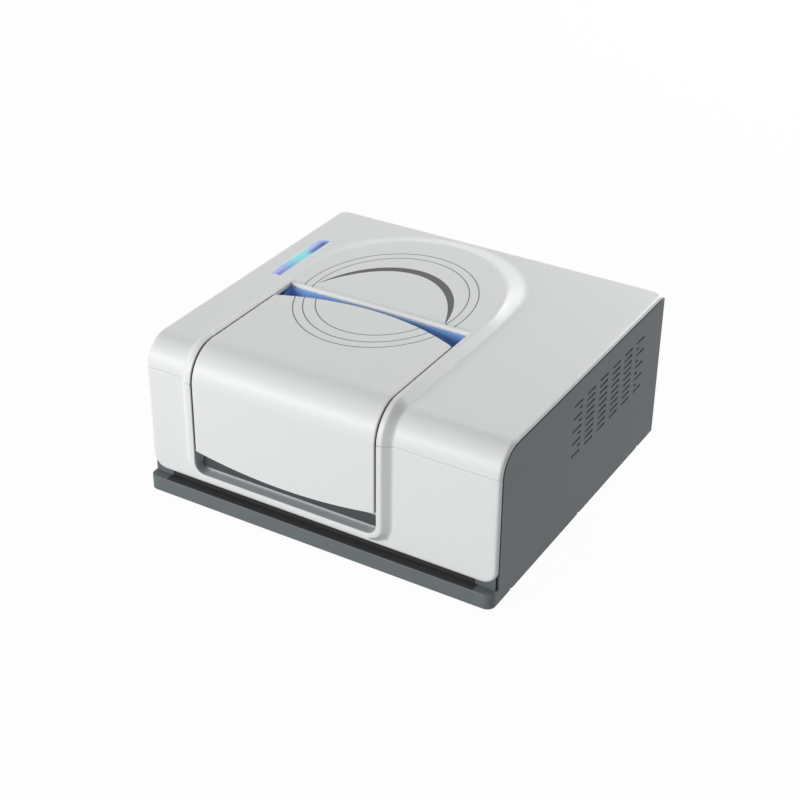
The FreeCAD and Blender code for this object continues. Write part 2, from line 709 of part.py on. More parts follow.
panel_top = bend_z - s.parting_gap
front_blank = block("front_blank", (-shell_half, shell_half), (shell_front, upstand_y), (shell_low, panel_top))
front_corners = rounded("front_corners", front_blank, s.corner_round,
                        lambda edge: abs(edge.tangentAt(edge.FirstParameter).y) > 0.999
                        and edge.BoundBox.ZMax < float(shell_low) + 1)
front_soft = rounded("front_soft", front_corners, s.edge_radius,
                     lambda edge: edge.BoundBox.YMax < float(shell_front) + 0.01
                     and edge.BoundBox.ZMin < float(panel_top) - 1)
hollow_blank = block("front_hollow_blank", (-cavity_half, cavity_half),
                     (shell_front + s.shell_wall, upstand_y + 1), (shell_low + s.side_wall, panel_top + 1))
front_hollow = rounded("front_hollow", hollow_blank, s.corner_round - s.side_wall,
                       lambda edge: abs(edge.tangentAt(edge.FirstParameter).y) > 0.999
                       and edge.BoundBox.ZMax < float(shell_low) + 10)
front_sheet = remove("front_sheet", front_soft, front_hollow)
crest_low = sill - s.rim_width
flank_low = shell_low + s.edge_radius
collar_face = loft("collar_face",
                   doorway(flank_half, flank_low, panel_top, s.sill_corner + 15, float(shell_front)),
                   doorway(crest_half, crest_low, panel_top, s.sill_corner + 8, float(collar_front)))
front_solid = join("front_solid", front_sheet, collar_face)
doorway_cut = prism("doorway_cut", outline("doorway_outline", doorway(
    opening_half, sill, panel_top + 5, s.sill_corner, float(collar_front) - 5)), s.relief + 30, Y)
rebate_front = collar_front + 1.5
rebate = prism("doorway_rebate", outline("rebate_outline", doorway(
    opening_half + s.liner_wall, sill - s.liner_wall, panel_top + 5, s.sill_corner + s.liner_wall,
    float(rebate_front))), s.relief + 30, Y)
keep("front_panel", remove("front_panel_cut", front_solid, doorway_cut, rebate))


# Grey trough for the fingers under the lid's lower edge

trough_front = rebate_front + s.inlay_gap
trough_gap = s.inlay_gap
trough_top = s.foot_rise + s.tub_front_rise
trough_blank = prism("trough_blank", outline("trough_outline", doorway(
    opening_half + s.liner_wall - trough_gap, sill - s.liner_wall + trough_gap, trough_top,
    s.sill_corner + s.liner_wall, float(trough_front))), upstand_y + s.liner_wall - trough_front, Y)
trough_space = prism("trough_space", outline("trough_space_outline", doorway(
    opening_half, sill, trough_top + 5, s.sill_corner, float(trough_front) - 1)),
    upstand_y - trough_front + 1, Y)
keep("finger_trough", remove("finger_trough_cut", trough_blank, trough_space))
trough_back = upstand_y + s.liner_wall


# Lid: skin over the top and down the front, with side skirts

def lid_layer(name, near, far, half_inner, half_outer, low):
    """One layer of the lid between two half widths, both sides of its centre."""
    if float(half_inner) == 0:
        wire = layer(float(near), float(far), float(s.lid_rear) + 20, float(low), float(s.lid_offset - half_outer))
        return [across(name, wire, half_outer * 2)]
    pieces = []
    for side, start in (("left", s.lid_offset - half_outer), ("right", s.lid_offset + half_inner)):
        wire = layer(float(near), float(far), float(s.lid_rear) + 20, float(low), float(start))
        pieces.append(across(f"{name}_{side}", wire, as_size(half_outer) - half_inner))
    return pieces


def chord_radius(half, sag):
    return (float(half) ** 2 + float(sag) ** 2) / (2 * float(sag))


lid_bottom = s.foot_rise + s.lid_lower
lid_blank_low = lid_bottom - 5
lid_parts = lid_layer("lid_top", 0, s.lid_skin, 0, lid_half, lid_blank_low)
lid_parts += lid_layer("lid_skirts", s.lid_skin - 0.5, s.lid_skirt, lid_half - 3, lid_half, lid_blank_low)
lid_joined = join("lid_joined", *lid_parts)
rear_radius = chord_radius(lid_half, s.lid_rear_sag)
low_radius = chord_radius(lid_half, s.lid_lower_sag)


def lid_trim(name, base, back_off, low_off):
    """Keeps what lies in front of the curved rear edge and above the curved lower edge."""
    behind = rod(f"{name}_rear_arc", rear_radius, s.lid_offset, s.lid_rear - rear_radius - back_off,
                 (s.foot_rise, collar_top + 10))
    below = rod(f"{name}_lower_arc", low_radius, s.lid_offset, (collar_front - 10, 0.0),
                lid_bottom + low_radius + low_off)
    return overlap(f"{name}_trim", overlap(f"{name}_in_arc", base, behind), below)


lid_trimmed = lid_trim("lid", lid_joined, 0.0, 0.0)
keep("lid_shell", bevelled("lid_soft", lid_trimmed, s.lid_soft_edge,
                           along_outer_edge((float(s.lid_offset), float(lid_half)), 0.0)))

liner_near = s.lid_skin + s.liner_gap
liner_far = liner_near + s.liner_thickness
liner_half = lid_half - 3 - s.liner_gap
liner_low = s.foot_rise + s.tub_front_rise - 12
liner_blank = lid_layer("liner_sheet", liner_near, liner_far, 0, liner_half, liner_low)[0]
keep("lid_liner", lid_trim("liner", liner_blank, 4.0, 4.0))


# Hinge: arms under the lid, brackets in the trough, pins through both

hinge_z = s.foot_rise + s.hinge_rise
channel_low = s.foot_rise + s.channel_floor
liner_under = collar_top - liner_far
arms, brackets, pins = [], [], []
knuckle_half = s.knuckle_width / 2
ear_near = knuckle_half + s.ear_gap
ear_far = ear_near + s.ear_thickness
eye = s.pin_radius + s.running_clearance
for n, side in enumerate((-1, 1)):
    hinge_x = s.lid_offset + s.hinge_spread * side
    knuckle_span = (hinge_x - knuckle_half, hinge_x + knuckle_half)
    knuckle = rod(f"arm_knuckle_{n}", s.knuckle_radius, knuckle_span, s.hinge_y, hinge_z)
    web = block(f"arm_web_{n}", knuckle_span, (s.hinge_y - s.arm_pad / 2, s.hinge_y + s.knuckle_radius),
                (hinge_z, liner_under))
    pad = block(f"arm_pad_{n}", (hinge_x - s.arm_pad / 2, hinge_x + s.arm_pad / 2),
                (s.hinge_y - s.arm_pad, s.hinge_y - s.knuckle_radius - s.ear_gap),
                (liner_under - s.bracket_foot, liner_under))
    bore = rod(f"arm_bore_{n}", eye, (hinge_x - s.arm_pad, hinge_x + s.arm_pad), s.hinge_y, hinge_z)
    arms.append(remove(f"arm_{n}", join(f"arm_solid_{n}", knuckle, web, pad), bore))
    ear_span = (hinge_x + ear_near, hinge_x + ear_far) if side == 1 else (hinge_x - ear_far, hinge_x - ear_near)
    foot = block(f"bracket_foot_{n}", (hinge_x - ear_far, hinge_x + ear_far),
                 (s.hinge_y - s.bracket_depth / 2, s.hinge_y + s.bracket_depth / 2),
                 (channel_low, channel_low + s.bracket_foot))
    ear_web = block(f"ear_web_{n}", ear_span, (s.hinge_y - s.knuckle_radius, s.hinge_y + s.knuckle_radius),
                    (channel_low, hinge_z))
    ear_eye = rod(f"ear_eye_{n}", s.knuckle_radius, ear_span, s.hinge_y, hinge_z)
    ear_hole = rod(f"ear_hole_{n}", eye, (hinge_x - s.arm_pad, hinge_x + s.arm_pad), s.hinge_y, hinge_z)
    brackets.append(remove(f"bracket_{n}", join(f"bracket_solid_{n}", foot, ear_web, ear_eye), ear_hole))
    pin_span = (hinge_x - knuckle_half, hinge_x + ear_far) if side == 1 else (hinge_x - ear_far, hinge_x + knuckle_half)
    pins.append(rod(f"hinge_pin_{n}", s.pin_radius, pin_span, s.hinge_y, hinge_z))
keep("hinge_arms", join("hinge_arm_pair", *arms))
keep("hinge_brackets", join("hinge_bracket_pair", *brackets))
keep("hinge_pins", join("hinge_pin_pair", *pins))


# Blue channel that the lid's rear edge swings in

channel_half = opening_half - 0.3
channel_rear = s.plateau_edge - 0.2
channel_top = collar_top - s.channel_light


def channel_section(inset, top_back, top_front, x):
    """U-shaped section of the trough, inset from its outer face."""
    r = float(s.channel_corner + s.channel_wall) - inset
    y0, y1 = float(s.channel_front - s.channel_wall) + inset, float(channel_rear) - inset
    z0, slant = float(channel_low - s.channel_wall) + inset, 1 - math.sqrt(0.5)
    return wire_of([
        Vector(x, y1, top_back), Vector(x, y1, z0 + r),
        (Vector(x, y1 - r * slant, z0 + r * slant), Vector(x, y1 - r, z0)), Vector(x, y0 + r, z0),
        (Vector(x, y0 + r * slant, z0 + r * slant), Vector(x, y0, z0 + r)), Vector(x, y0, top_front)])


rail_top = hinge_z
channel_left = s.lid_offset - channel_half
channel_blank = across("channel_blank", channel_section(0.0, float(channel_top), float(rail_top),
                                                        float(channel_left)), channel_half * 2)
end_wall = 1.4
channel_space = across("channel_space", channel_section(
    float(s.channel_wall), float(channel_top) + 10, float(rail_top) + 10, float(channel_left) + end_wall),
    channel_half * 2 - end_wall * 2)
channel_flange = block("channel_flange", (s.lid_offset - lid_half + 6, s.lid_offset + lid_half - 6),
                       (s.tub_rear, s.channel_front), (rail_top - s.channel_wall, rail_top))
keep("hinge_trough", join("hinge_trough_joined", remove("channel_shell", channel_blank, channel_space),
                          channel_flange))


# Sample chamber: open tub with a window in each side, and its gasket

seal_near = liner_far + s.liner_gap
wall_depth = seal_near + s.seal_thickness
tub_half = lid_half - 3 - 1
tub_low = s.foot_rise + s.tub_floor
tub_walls = []
for name, start in (("left", s.lid_offset - tub_half), ("right", s.lid_offset + tub_half - s.tub_wall)):
    wall = inside(float(wall_depth), float(s.tub_rear), float(tub_low), float(start))
    tub_walls.append(across(f"tub_wall_{name}", wall, s.tub_wall))
tub_walls.append(block("tub_base", (s.lid_offset - tub_half, s.lid_offset + tub_half),
                       (trough_back, s.tub_rear), (tub_low, tub_low + s.tub_wall)))
tub_walls.append(block("tub_back", (s.lid_offset - tub_half, s.lid_offset + tub_half),
                       (s.tub_rear, s.tub_rear + s.tub_wall), (tub_low, rail_top - s.channel_wall)))
tub_walls.append(block("tub_front", (s.lid_offset - tub_half, s.lid_offset + tub_half),
                       (trough_back, trough_back + s.tub_wall), (tub_low, trough_top)))
post_front, post_rear = trough_back + s.post_size * 2, s.tub_rear - s.post_size * 2
for n, (side, y) in enumerate(((-1, post_front), (1, post_front), (-1, post_rear), (1, post_rear))):
    post_x = s.lid_offset + (tub_half - s.post_size * 1.5) * side
    tub_walls.append(block(f"tub_post_{n}", (post_x - s.post_size / 2, post_x + s.post_size / 2),
                           (y - s.post_size / 2, y + s.post_size / 2), (bench_z, tub_low + 1)))
tub_toe = block("tub_toe", (s.lid_offset - tub_half - 1, s.lid_offset + tub_half + 1),
                (collar_front, trough_back), (tub_low - 1, trough_top + s.inlay_gap))
beam_hole = rod("tub_beam_hole", s.window_size / 2 - s.window_rebate,
                (s.lid_offset - tub_half - 5, s.lid_offset + tub_half + 5), s.beam_y, beam_z)
keep("sample_chamber", remove("sample_chamber_cut", join("tub_solid", *tub_walls), tub_toe, beam_hole))

seal_low = trough_top - 6
seal_parts = []
for name, start in (("left", s.lid_offset - tub_half), ("right", s.lid_offset + tub_half - 5)):
    strip = layer(float(seal_near), float(wall_depth - s.inlay_gap), float(s.tub_rear), float(seal_low),
                  float(start))
    seal_parts.append(across(f"seal_{name}", strip, 5))
seal_parts.append(block("seal_back", (s.lid_offset - tub_half, s.lid_offset + tub_half),
                        (s.tub_rear, s.tub_rear + 5), (rail_top, collar_top - seal_near)))
seal_parts.append(block("seal_front", (s.lid_offset - tub_half, s.lid_offset + tub_half),
                        (collar_front + seal_near, upstand_y), (seal_low, trough_top)))
keep("chamber_gasket", join("gasket_joined", *seal_parts))

windows, rings = [], []
window_half = s.window_size / 2
ring_half = window_half + s.ring_wall
for n, side in enumerate((-1, 1)):
    face = s.lid_offset + tub_half * side
    inner, outer = face + s.inlay_gap * side, face + s.window_proud * side
    span = (inner, outer) if side == 1 else (outer, inner)
    windows.append(block(f"window_{n}", span, (s.beam_y - window_half, s.beam_y + window_half),
                         (beam_z - window_half, beam_z + window_half)))
    span = (face, outer) if side == 1 else (outer, face)
    ring = block(f"window_ring_{n}", span, (s.beam_y - ring_half, s.beam_y + ring_half),
                 (beam_z - ring_half, beam_z + ring_half))
    ring_fit = window_half + s.running_clearance
    ring_bore = block(f"ring_bore_{n}", (face - 10, face + 10), (s.beam_y - ring_fit, s.beam_y + ring_fit),
                      (beam_z - ring_fit, beam_z + ring_fit))
    rings.append(remove(f"window_ring_cut_{n}", ring, ring_bore))
keep("chamber_windows", join("window_pair", *windows))
keep("window_rings", join("window_ring_pair", *rings))


# Sample stand and the holder that lifts out of it

stand_z = tub_low + s.tub_wall
holder_half, holder_thick, slot_gap = 26, 1.5, 0.3
stand_parts = [block("stand_base", (s.lid_offset - 40, s.lid_offset + 40), (s.beam_y - 34, s.beam_y + 34),
                     (stand_z, stand_z + 6))]
for n, side in enumerate((-1, 1)):
    near, far = s.beam_y + (holder_half - 3) * side, s.beam_y + (holder_half + 6) * side
    limits = (near, far) if side == 1 else (far, near)
    stand_parts.append(block(f"stand_guide_{n}", (s.lid_offset - 7, s.lid_offset + 7), limits,
                             (stand_z, beam_z + 20)))
groove = block("stand_groove", (s.lid_offset - holder_thick - slot_gap, s.lid_offset + holder_thick + slot_gap),
               (s.beam_y - holder_half - slot_gap, s.beam_y + holder_half + slot_gap),
               (stand_z + 6, beam_z + 25))
keep("sample_stand", remove("sample_stand_cut", join("stand_solid", *stand_parts), groove))
holder_plate = block("holder_plate", (s.lid_offset - holder_thick, s.lid_offset + holder_thick),
                     (s.beam_y - holder_half, s.beam_y + holder_half), (stand_z + 6, beam_z + 26))
holder_tab = block("holder_tab", (s.lid_offset - 4, s.lid_offset + 4), (s.beam_y - 10, s.beam_y + 10),
                   (beam_z + 24, beam_z + 32))
holder_hole = rod("holder_hole", 10, (s.lid_offset - 10, s.lid_offset + 10), s.beam_y, beam_z)
keep("sample_holder", remove("sample_holder_cut", join("holder_solid", holder_plate, holder_tab), holder_hole))


# Optics bench: a padded plate with lightening pockets, on four rubber isolators

bench = doc.addObject("PartDesign::Body", "bench_body")
bench_half = s.width / 2 - s.bench_side
bench_front, bench_rear = front + s.bench_from_front, rear - s.bench_from_rear
plate_sketch = sketch_on(bench, "XY_Plane", "bench_sketch")
sketch_rectangle(plate_sketch, -bench_half, bench_front, bench_half * 2, bench_rear - bench_front)
plate_pad = bench.newObject("PartDesign::Pad", "bench_pad")
plate_pad.Profile = plate_sketch
bind(plate_pad, "Length", s.bench_plate)
pocket_sketch = sketch_on(bench, "XY_Plane", "bench_pocket_sketch")
for column in range(3):
    pocket_pitch = (bench_half * 2 - s.bench_rib) / 3
    sketch_rectangle(pocket_sketch, -bench_half + s.bench_rib + pocket_pitch * column, bench_front + s.bench_rib,
                     pocket_pitch - s.bench_rib, bench_rear - bench_front - s.bench_rib * 2)
doc.recompute()
pocket = bench.newObject("PartDesign::Pocket", "bench_pockets")
pocket.Profile = pocket_sketch
pocket.Reversed = True
bind(pocket, "Length", s.bench_plate - s.bench_floor)
place(bench, 0, 0, bench_z - s.bench_plate)
keep("optics_bench", bench)

isolators = []
pad_half = s.isolator_size / 2
for n, (x, y) in enumerate(foot_places):
    pad_x = (bench_half - s.isolator_size) * x
    pad_y = bench_front + s.bench_rib if y == -1 else bench_rear - s.isolator_size
    isolators.append(block(f"isolator_{n}", (pad_x - pad_half, pad_x + pad_half), (pad_y - pad_half, pad_y + pad_half),
                           (tray_floor, bench_z - s.bench_plate)))
keep("bench_isolators", join("isolator_set", *isolators))


def turned(label, feature, x, y, angle):
    """Stands a finished piece on the bench, turned about the vertical."""
    doc.recompute()
    placed = doc.addObject("Part::Feature", f"{label}_placed")
    placed.Shape = feature.Shape.copy()
    spot = FreeCAD.Placement(Vector(float(x), float(y), float(bench_z)), FreeCAD.Rotation(Z, angle))
    placed.Placement = spot.multiply(placed.Placement)
    keep(label, placed)


def mirror_on_mount(label, mount_label, x, y, angle):
    """A square mirror let into the face of a block that stands on the bench."""
    half, rise, fit = s.mirror_size / 2, beam_z - bench_z, s.running_clearance
    body = block(f"{label}_body", (-half - s.mount_wall, half + s.mount_wall), (0.0, s.mount_depth),
                 (0, rise + half + s.mount_wall))
    seat = block(f"{label}_seat", (-half - fit, half + fit), (-1, s.mirror_thickness - s.mount_wall / 2),
                 (rise - half - fit, rise + half + fit))
    plate = block(f"{label}_plate", (-half, half), (-s.mount_wall / 2, s.mirror_thickness - s.mount_wall / 2),
                  (rise - half, rise + half))
    turned(mount_label, remove(f"{label}_holder", body, seat), x, y, angle)
    turned(label, plate, x, y, angle)


splitter_x, splitter_y = s.width / 2 - s.splitter_from_side, bench_rear - s.splitter_from_rear
collimator_x = s.width / 2 - s.collimator_from_side
detector_x = -s.width / 2 + s.detector_from_side
mirror_on_mount("fixed_mirror", "fixed_mirror_mount", splitter_x, splitter_y + s.fixed_mirror_gap - 2, 0)
mirror_on_mount("collimating_mirror", "collimating_mount", collimator_x, splitter_y, -45)
mirror_on_mount("turning_mirror", "turning_mount", splitter_x, s.beam_y, -135)
mirror_on_mount("focusing_mirror", "focusing_mount", detector_x, s.beam_y, -225)

splitter_rise = beam_z - bench_z
splitter_half = s.splitter_size / 2
cell_half = splitter_half + s.mount_wall
seat_half = splitter_half + s.running_clearance
sight_half = splitter_half - s.mount_wall
splitter_body = block("splitter_body", (-cell_half, cell_half), (0.0, s.mount_depth), (0, splitter_rise + cell_half))
splitter_seat = block("splitter_seat", (-seat_half, seat_half), (-1, s.mirror_thickness),
                      (splitter_rise - seat_half, splitter_rise + seat_half))
splitter_sight = block("splitter_sight", (-sight_half, sight_half), (0.0, s.mount_depth + 1),
                       (splitter_rise - sight_half, splitter_rise + sight_half))
turned("beamsplitter_mount", remove("splitter_holder", splitter_body, splitter_seat, splitter_sight),
       splitter_x, splitter_y, 45)
turned("beamsplitter", block("splitter_plate", (-splitter_half, splitter_half), (0.0, s.mirror_thickness),
                             (splitter_rise - splitter_half, splitter_rise + splitter_half)),
       splitter_x, splitter_y, 45)


# Infrared source with its finned heat sink

source_x, source_y = collimator_x, splitter_y - s.source_gap
source_half = s.source_size / 2
source_top = beam_z + s.source_size * 0.8
room_low = bench_z + s.source_size
source_box = block("source_box", (source_x - source_half, source_x + source_half),
                   (source_y - source_half, source_y + source_half), (bench_z, source_top))
room_half = source_half - s.source_wall
source_room = block("source_room", (source_x - room_half, source_x + room_half),
                    (source_y - room_half, source_y + room_half), (room_low, source_top - s.source_wall))
port_half = s.source_port / 2
source_port = block("source_port", (source_x - port_half, source_x + port_half), (source_y, source_y + s.source_size),
                    (beam_z - port_half, beam_z + port_half))
keep("source_housing", remove("source_housing_cut", source_box, source_room, source_port))
base_half = source_half / 3
element_base = block("element_base", (source_x - base_half, source_x + base_half),
                     (source_y - base_half, source_y + base_half), (room_low, room_low + s.source_wall * 2))
element_rod = rod("element_rod", s.element_radius, source_x, source_y,
                  (room_low + s.source_wall, source_top - s.source_wall * 3))
keep("source_element", join("source_element_joined", element_rod, element_base))

sink = doc.addObject("PartDesign::Body", "sink_body")
sink_plate = sketch_on(sink, "XY_Plane", "sink_plate_sketch")
sketch_rectangle(sink_plate, source_x - source_half, source_y - source_half - s.sink_plate, s.source_size,
                 s.sink_plate)
sink_pad = sink.newObject("PartDesign::Pad", "sink_plate")
sink_pad.Profile = sink_plate
sink_rise = (source_top - bench_z) * 0.9
bind(sink_pad, "Length", sink_rise)
fin_sketch = sketch_on(sink, "XY_Plane", "sink_fin_sketch")
sketch_rectangle(fin_sketch, source_x - source_half, source_y - source_half - s.sink_depth, s.sink_fin,
                 s.sink_depth - s.sink_plate)
fin_pad = sink.newObject("PartDesign::Pad", "sink_fin")
fin_pad.Profile = fin_sketch
bind(fin_pad, "Length", sink_rise)
fins = sink.newObject("PartDesign::LinearPattern", "sink_fins")
fins.Originals = [fin_pad]
fins.Direction = (fin_sketch, ["H_Axis"])
bind(fins, "Length", s.source_size - s.sink_fin)
fins.Occurrences = 7
sink.Tip = fins
place(sink, 0, 0, source_top - sink_rise)
keep("source_heat_sink", sink)


# Scanning mirror: carriage on two guide bars, driven by a voice coil

rail_y, rail_z = splitter_y, beam_z - s.guide_drop
rail_from, rail_to = splitter_x - 126, splitter_x - 28
end_thick = 8
guide_half = s.guide_size / 2
carriage_half = s.guide_spread + s.guide_size


def guide_bars(name, grow, x):
    """The two square bars, larger by grow all round."""
    return [block(f"{name}_{n}", x, (rail_y + s.guide_spread * side - guide_half - grow,
                                     rail_y + s.guide_spread * side + guide_half + grow),
                  (rail_z - guide_half - grow, rail_z + guide_half + grow)) for n, side in enumerate((-1, 1))]


pedestal = [block("rail_base", (rail_from, rail_to), (rail_y - s.magnet_size / 2 - 9, rail_y + s.magnet_size / 2 + 9),
                  (bench_z, bench_z + s.guide_size))]
for n, x in enumerate((rail_from + s.coil_size - s.guide_size, rail_to - end_thick)):
    pedestal.append(block(f"rail_end_{n}", (x, x + end_thick), (rail_y - carriage_half, rail_y + carriage_half),
                          (bench_z, rail_z + s.guide_size)))
keep("mirror_rail", remove("mirror_rail_cut", join("rail_solid", *pedestal),
                           *guide_bars("rail_hole", s.running_clearance, (rail_from + 1, rail_to + 1))))
keep("guide_rods", join("guide_bar_pair", *guide_bars("guide_bar", 0, (rail_from + s.coil_size - s.guide_size,
                                                                      rail_to))))
block_from, block_to = rail_from + 38, rail_from + 70
mirror_half = s.mirror_size / 2 - s.mount_wall
cell_half = s.mirror_size / 2
coil_half = s.coil_size / 2
coil_from, coil_to = block_from - 8, block_to - s.mount_depth - 2
carriage_parts = [
    block("carriage_block", (block_from, block_to), (rail_y - carriage_half, rail_y + carriage_half),
          (rail_z - s.guide_size - 2, rail_z + s.guide_size + 4)),
    block("carriage_neck", (block_to - s.mount_depth - 2, block_to - 2), (rail_y - cell_half, rail_y + cell_half),
          (rail_z + s.guide_size, beam_z + cell_half)),
    block("coil_former", (coil_from, coil_to + 1), (rail_y - coil_half, rail_y + coil_half),
          (beam_z - coil_half, beam_z + coil_half))]
coil_room = coil_half - s.coil_wall
carriage_tools = guide_bars("carriage_bore", s.running_clearance, (block_from - 1, block_to + 1))
carriage_tools.append(block("coil_bore", (coil_from - 1, coil_to), (rail_y - coil_room, rail_y + coil_room),
                            (beam_z - coil_room, beam_z + coil_room)))
seat_half = mirror_half + s.running_clearance
carriage_tools.append(block("moving_seat", (block_to - 2 - s.mirror_thickness, block_to + 5),
                            (rail_y - seat_half, rail_y + seat_half), (beam_z - seat_half, beam_z + seat_half)))
keep("mirror_carriage", remove("carriage_cut", join("carriage_solid", *carriage_parts), *carriage_tools))
keep("moving_mirror", block("moving_mirror_plate", (block_to - 2 - s.mirror_thickness, block_to - 1),
                            (rail_y - mirror_half, rail_y + mirror_half), (beam_z - mirror_half, beam_z + mirror_half)))
magnet_half = s.magnet_size / 2
magnet_to = coil_to - s.scan_travel - 4
slot_out, slot_in = coil_half + s.coil_gap, coil_room - s.coil_gap
slot_from = coil_from - s.scan_travel - 4
magnet_body = block("magnet_body", (rail_from + 2, magnet_to), (rail_y - magnet_half, rail_y + magnet_half),
                    (beam_z - magnet_half, beam_z + magnet_half))
magnet_slot = remove("magnet_slot", block("slot_outer", (slot_from, magnet_to + 1),
                                          (rail_y - slot_out, rail_y + slot_out), (beam_z - slot_out, beam_z + slot_out)),
                     block("slot_inner", (slot_from - 1, magnet_to + 2), (rail_y - slot_in, rail_y + slot_in),
                           (beam_z - slot_in, beam_z + slot_in)))
magnet_stand = block("magnet_stand", (rail_from + 2, rail_from + s.magnet_size / 2 - 2),
                     (rail_y - coil_half, rail_y + coil_half), (bench_z + s.guide_size, beam_z - magnet_half + 1))
keep("voice_coil_magnet", remove("magnet_cut", join("magnet_solid", magnet_body, magnet_stand), magnet_slot))


# Reference laser in two V-blocks, detector and desiccant

laser_x, laser_z = s.width / 2 - s.laser_from_side, bench_z + s.laser_rise
laser_to = source_y - source_half - s.sink_depth - s.laser_gap
laser_from = bench_front + s.laser_inset
keep("reference_laser", rod("laser_tube", s.laser_radius, laser_x, (laser_from, laser_to), laser_z))
clamps = []
vee = float(s.laser_radius + s.running_clearance) * math.sqrt(2)
clamp_half, clamp_thick = s.laser_radius + 1, 10
for n, y in enumerate((laser_from + clamp_thick, laser_to - clamp_thick * 2)):
    clamp_block = block(f"clamp_block_{n}", (laser_x - clamp_half, laser_x + clamp_half), (y, y + clamp_thick),
                        (bench_z, laser_z - s.laser_radius / 3))
    notch_depth = float(laser_z) - vee
    notch = prism(f"clamp_vee_{n}", outline(f"clamp_vee_outline_{n}", wire_of([
        Vector(float(laser_x), float(y) - 1, notch_depth),
        Vector(float(laser_x) + vee * 2, float(y) - 1, notch_depth + vee * 2),
        Vector(float(laser_x) - vee * 2, float(y) - 1, notch_depth + vee * 2)])), clamp_thick + 2, Y)
    clamps.append(remove(f"clamp_{n}", clamp_block, notch))
keep("laser_clamps", join("laser_clamp_pair", *clamps))

detector_half = s.detector_size / 2
detector_front, detector_top = s.beam_y + s.detector_gap, beam_z + s.detector_size * 0.7
detector_box = block("detector_box", (detector_x - detector_half, detector_x + detector_half),
                     (detector_front, detector_front + s.detector_size), (bench_z, detector_top))
port_half = s.detector_port / 2
detector_port = block("detector_port", (detector_x - port_half, detector_x + port_half),
                      (detector_front - 1, detector_front + 12), (beam_z - port_half, beam_z + port_half))
detector_lid = block("detector_lid", (detector_x - detector_half - 1, detector_x + detector_half + 1),
                     (detector_front, detector_front + s.detector_size + 1), (detector_top, detector_top + 3))
keep("detector_module", remove("detector_cut", join("detector_solid", detector_box, detector_lid), detector_port))
can_x, can_y, can_half = s.lid_offset - s.desiccant_size, splitter_y, s.desiccant_size / 2
keep("desiccant_cartridge", join(
    "desiccant_joined",
    block("desiccant_can", (can_x - can_half, can_x + can_half), (can_y - can_half, can_y + can_half),
          (bench_z, bench_z + s.desiccant_height)),
    block("desiccant_cap", (can_x - can_half - 2, can_x + can_half + 2), (can_y - can_half - 2, can_y + can_half + 2),
          (bench_z + s.desiccant_height, bench_z + s.desiccant_height + 8))))


# Light bar: diffusing lens in the cover with its board underneath

lens_top = bar_prism("lens_top", 0, (cover_under - 1, cover_top - 0.1))
flange_x, flange_y = s.bar_width / 2 + s.bar_flange, s.bar_length / 2 + s.bar_flange
lens_flange = block("lens_flange", (bar_x - flange_x, bar_x + flange_x),
                    (s.bar_centre - flange_y, s.bar_centre + flange_y), (cover_under - 1.5, cover_under))
keep("light_bar_lens", join("lens_joined", lens_top, lens_flange))
board_top = cover_under - s.bar_board_drop
led_half, led_pitch = 2.5, s.bar_length / 5
led_board = block("led_board", (bar_x - s.bar_width / 2, bar_x + s.bar_width / 2),
                  (s.bar_centre - board_reach, s.bar_centre + board_reach), (board_top - 1.6, board_top))
leds = [block(f"led_{n}", (bar_x - led_half, bar_x + led_half),
              (s.bar_centre + led_pitch * n - led_half, s.bar_centre + led_pitch * n + led_half),
              (board_top, board_top + 2)) for n in (-2, -1, 0, 1, 2)]
keep("light_bar_board", join("led_board_joined", led_board, *leds))


# Rear panel with its sockets, switch and fan

fan_x, fan_z = s.width / 2 - s.fan_from_side, s.foot_rise + s.fan_rise
inlet_x, inlet_z = -s.width / 2 + s.inlet_from_side, s.foot_rise + s.inlet_rise
switch_x, switch_z = inlet_x + s.switch_pitch, inlet_z
board_z = s.foot_rise + s.board_rise
board_sheet = s.board_sheet
board_left, board_right = -s.width / 2 + s.board_from_left, s.width / 2 - s.board_from_right
usb_x, network_x = board_left + s.usb_from_edge, board_left + s.network_from_edge
usb_wide, usb_high, network_wide, network_high = 12, 11, 16, 13.5
panel_half = cavity_half - s.inlay_gap
panel_blank = block("panel_blank", (-panel_half, panel_half), (panel_back, panel_face),
                    (tray_floor, cover_under - s.inlay_gap))


def panel_window(name, x, z, wide_by, high_by):
    """Cut-out in the rear panel with 0.2 to spare each side."""
    return block(name, (x - wide_by / 2 - 0.2, x + wide_by / 2 + 0.2), (panel_back - 1, panel_face + 1),
                 (z - high_by / 2 - 0.2, z + high_by / 2 + 0.2))


usb_z = board_z + board_sheet + usb_high / 2
network_z = board_z + board_sheet + network_high / 2
panel_tools = [panel_window("inlet_window", inlet_x, inlet_z, 27, 20),
               panel_window("switch_window", switch_x, switch_z, 13, 19.4),
               panel_window("usb_window", usb_x, usb_z, usb_wide, usb_high),
               panel_window("network_window", network_x, network_z, network_wide, network_high),
               polygon_bar("fan_window", s.fan_bore, 24, fan_x, (panel_back - 1, panel_face + 1), fan_z)]
keep("rear_panel", remove("rear_panel_cut", panel_blank, *panel_tools))

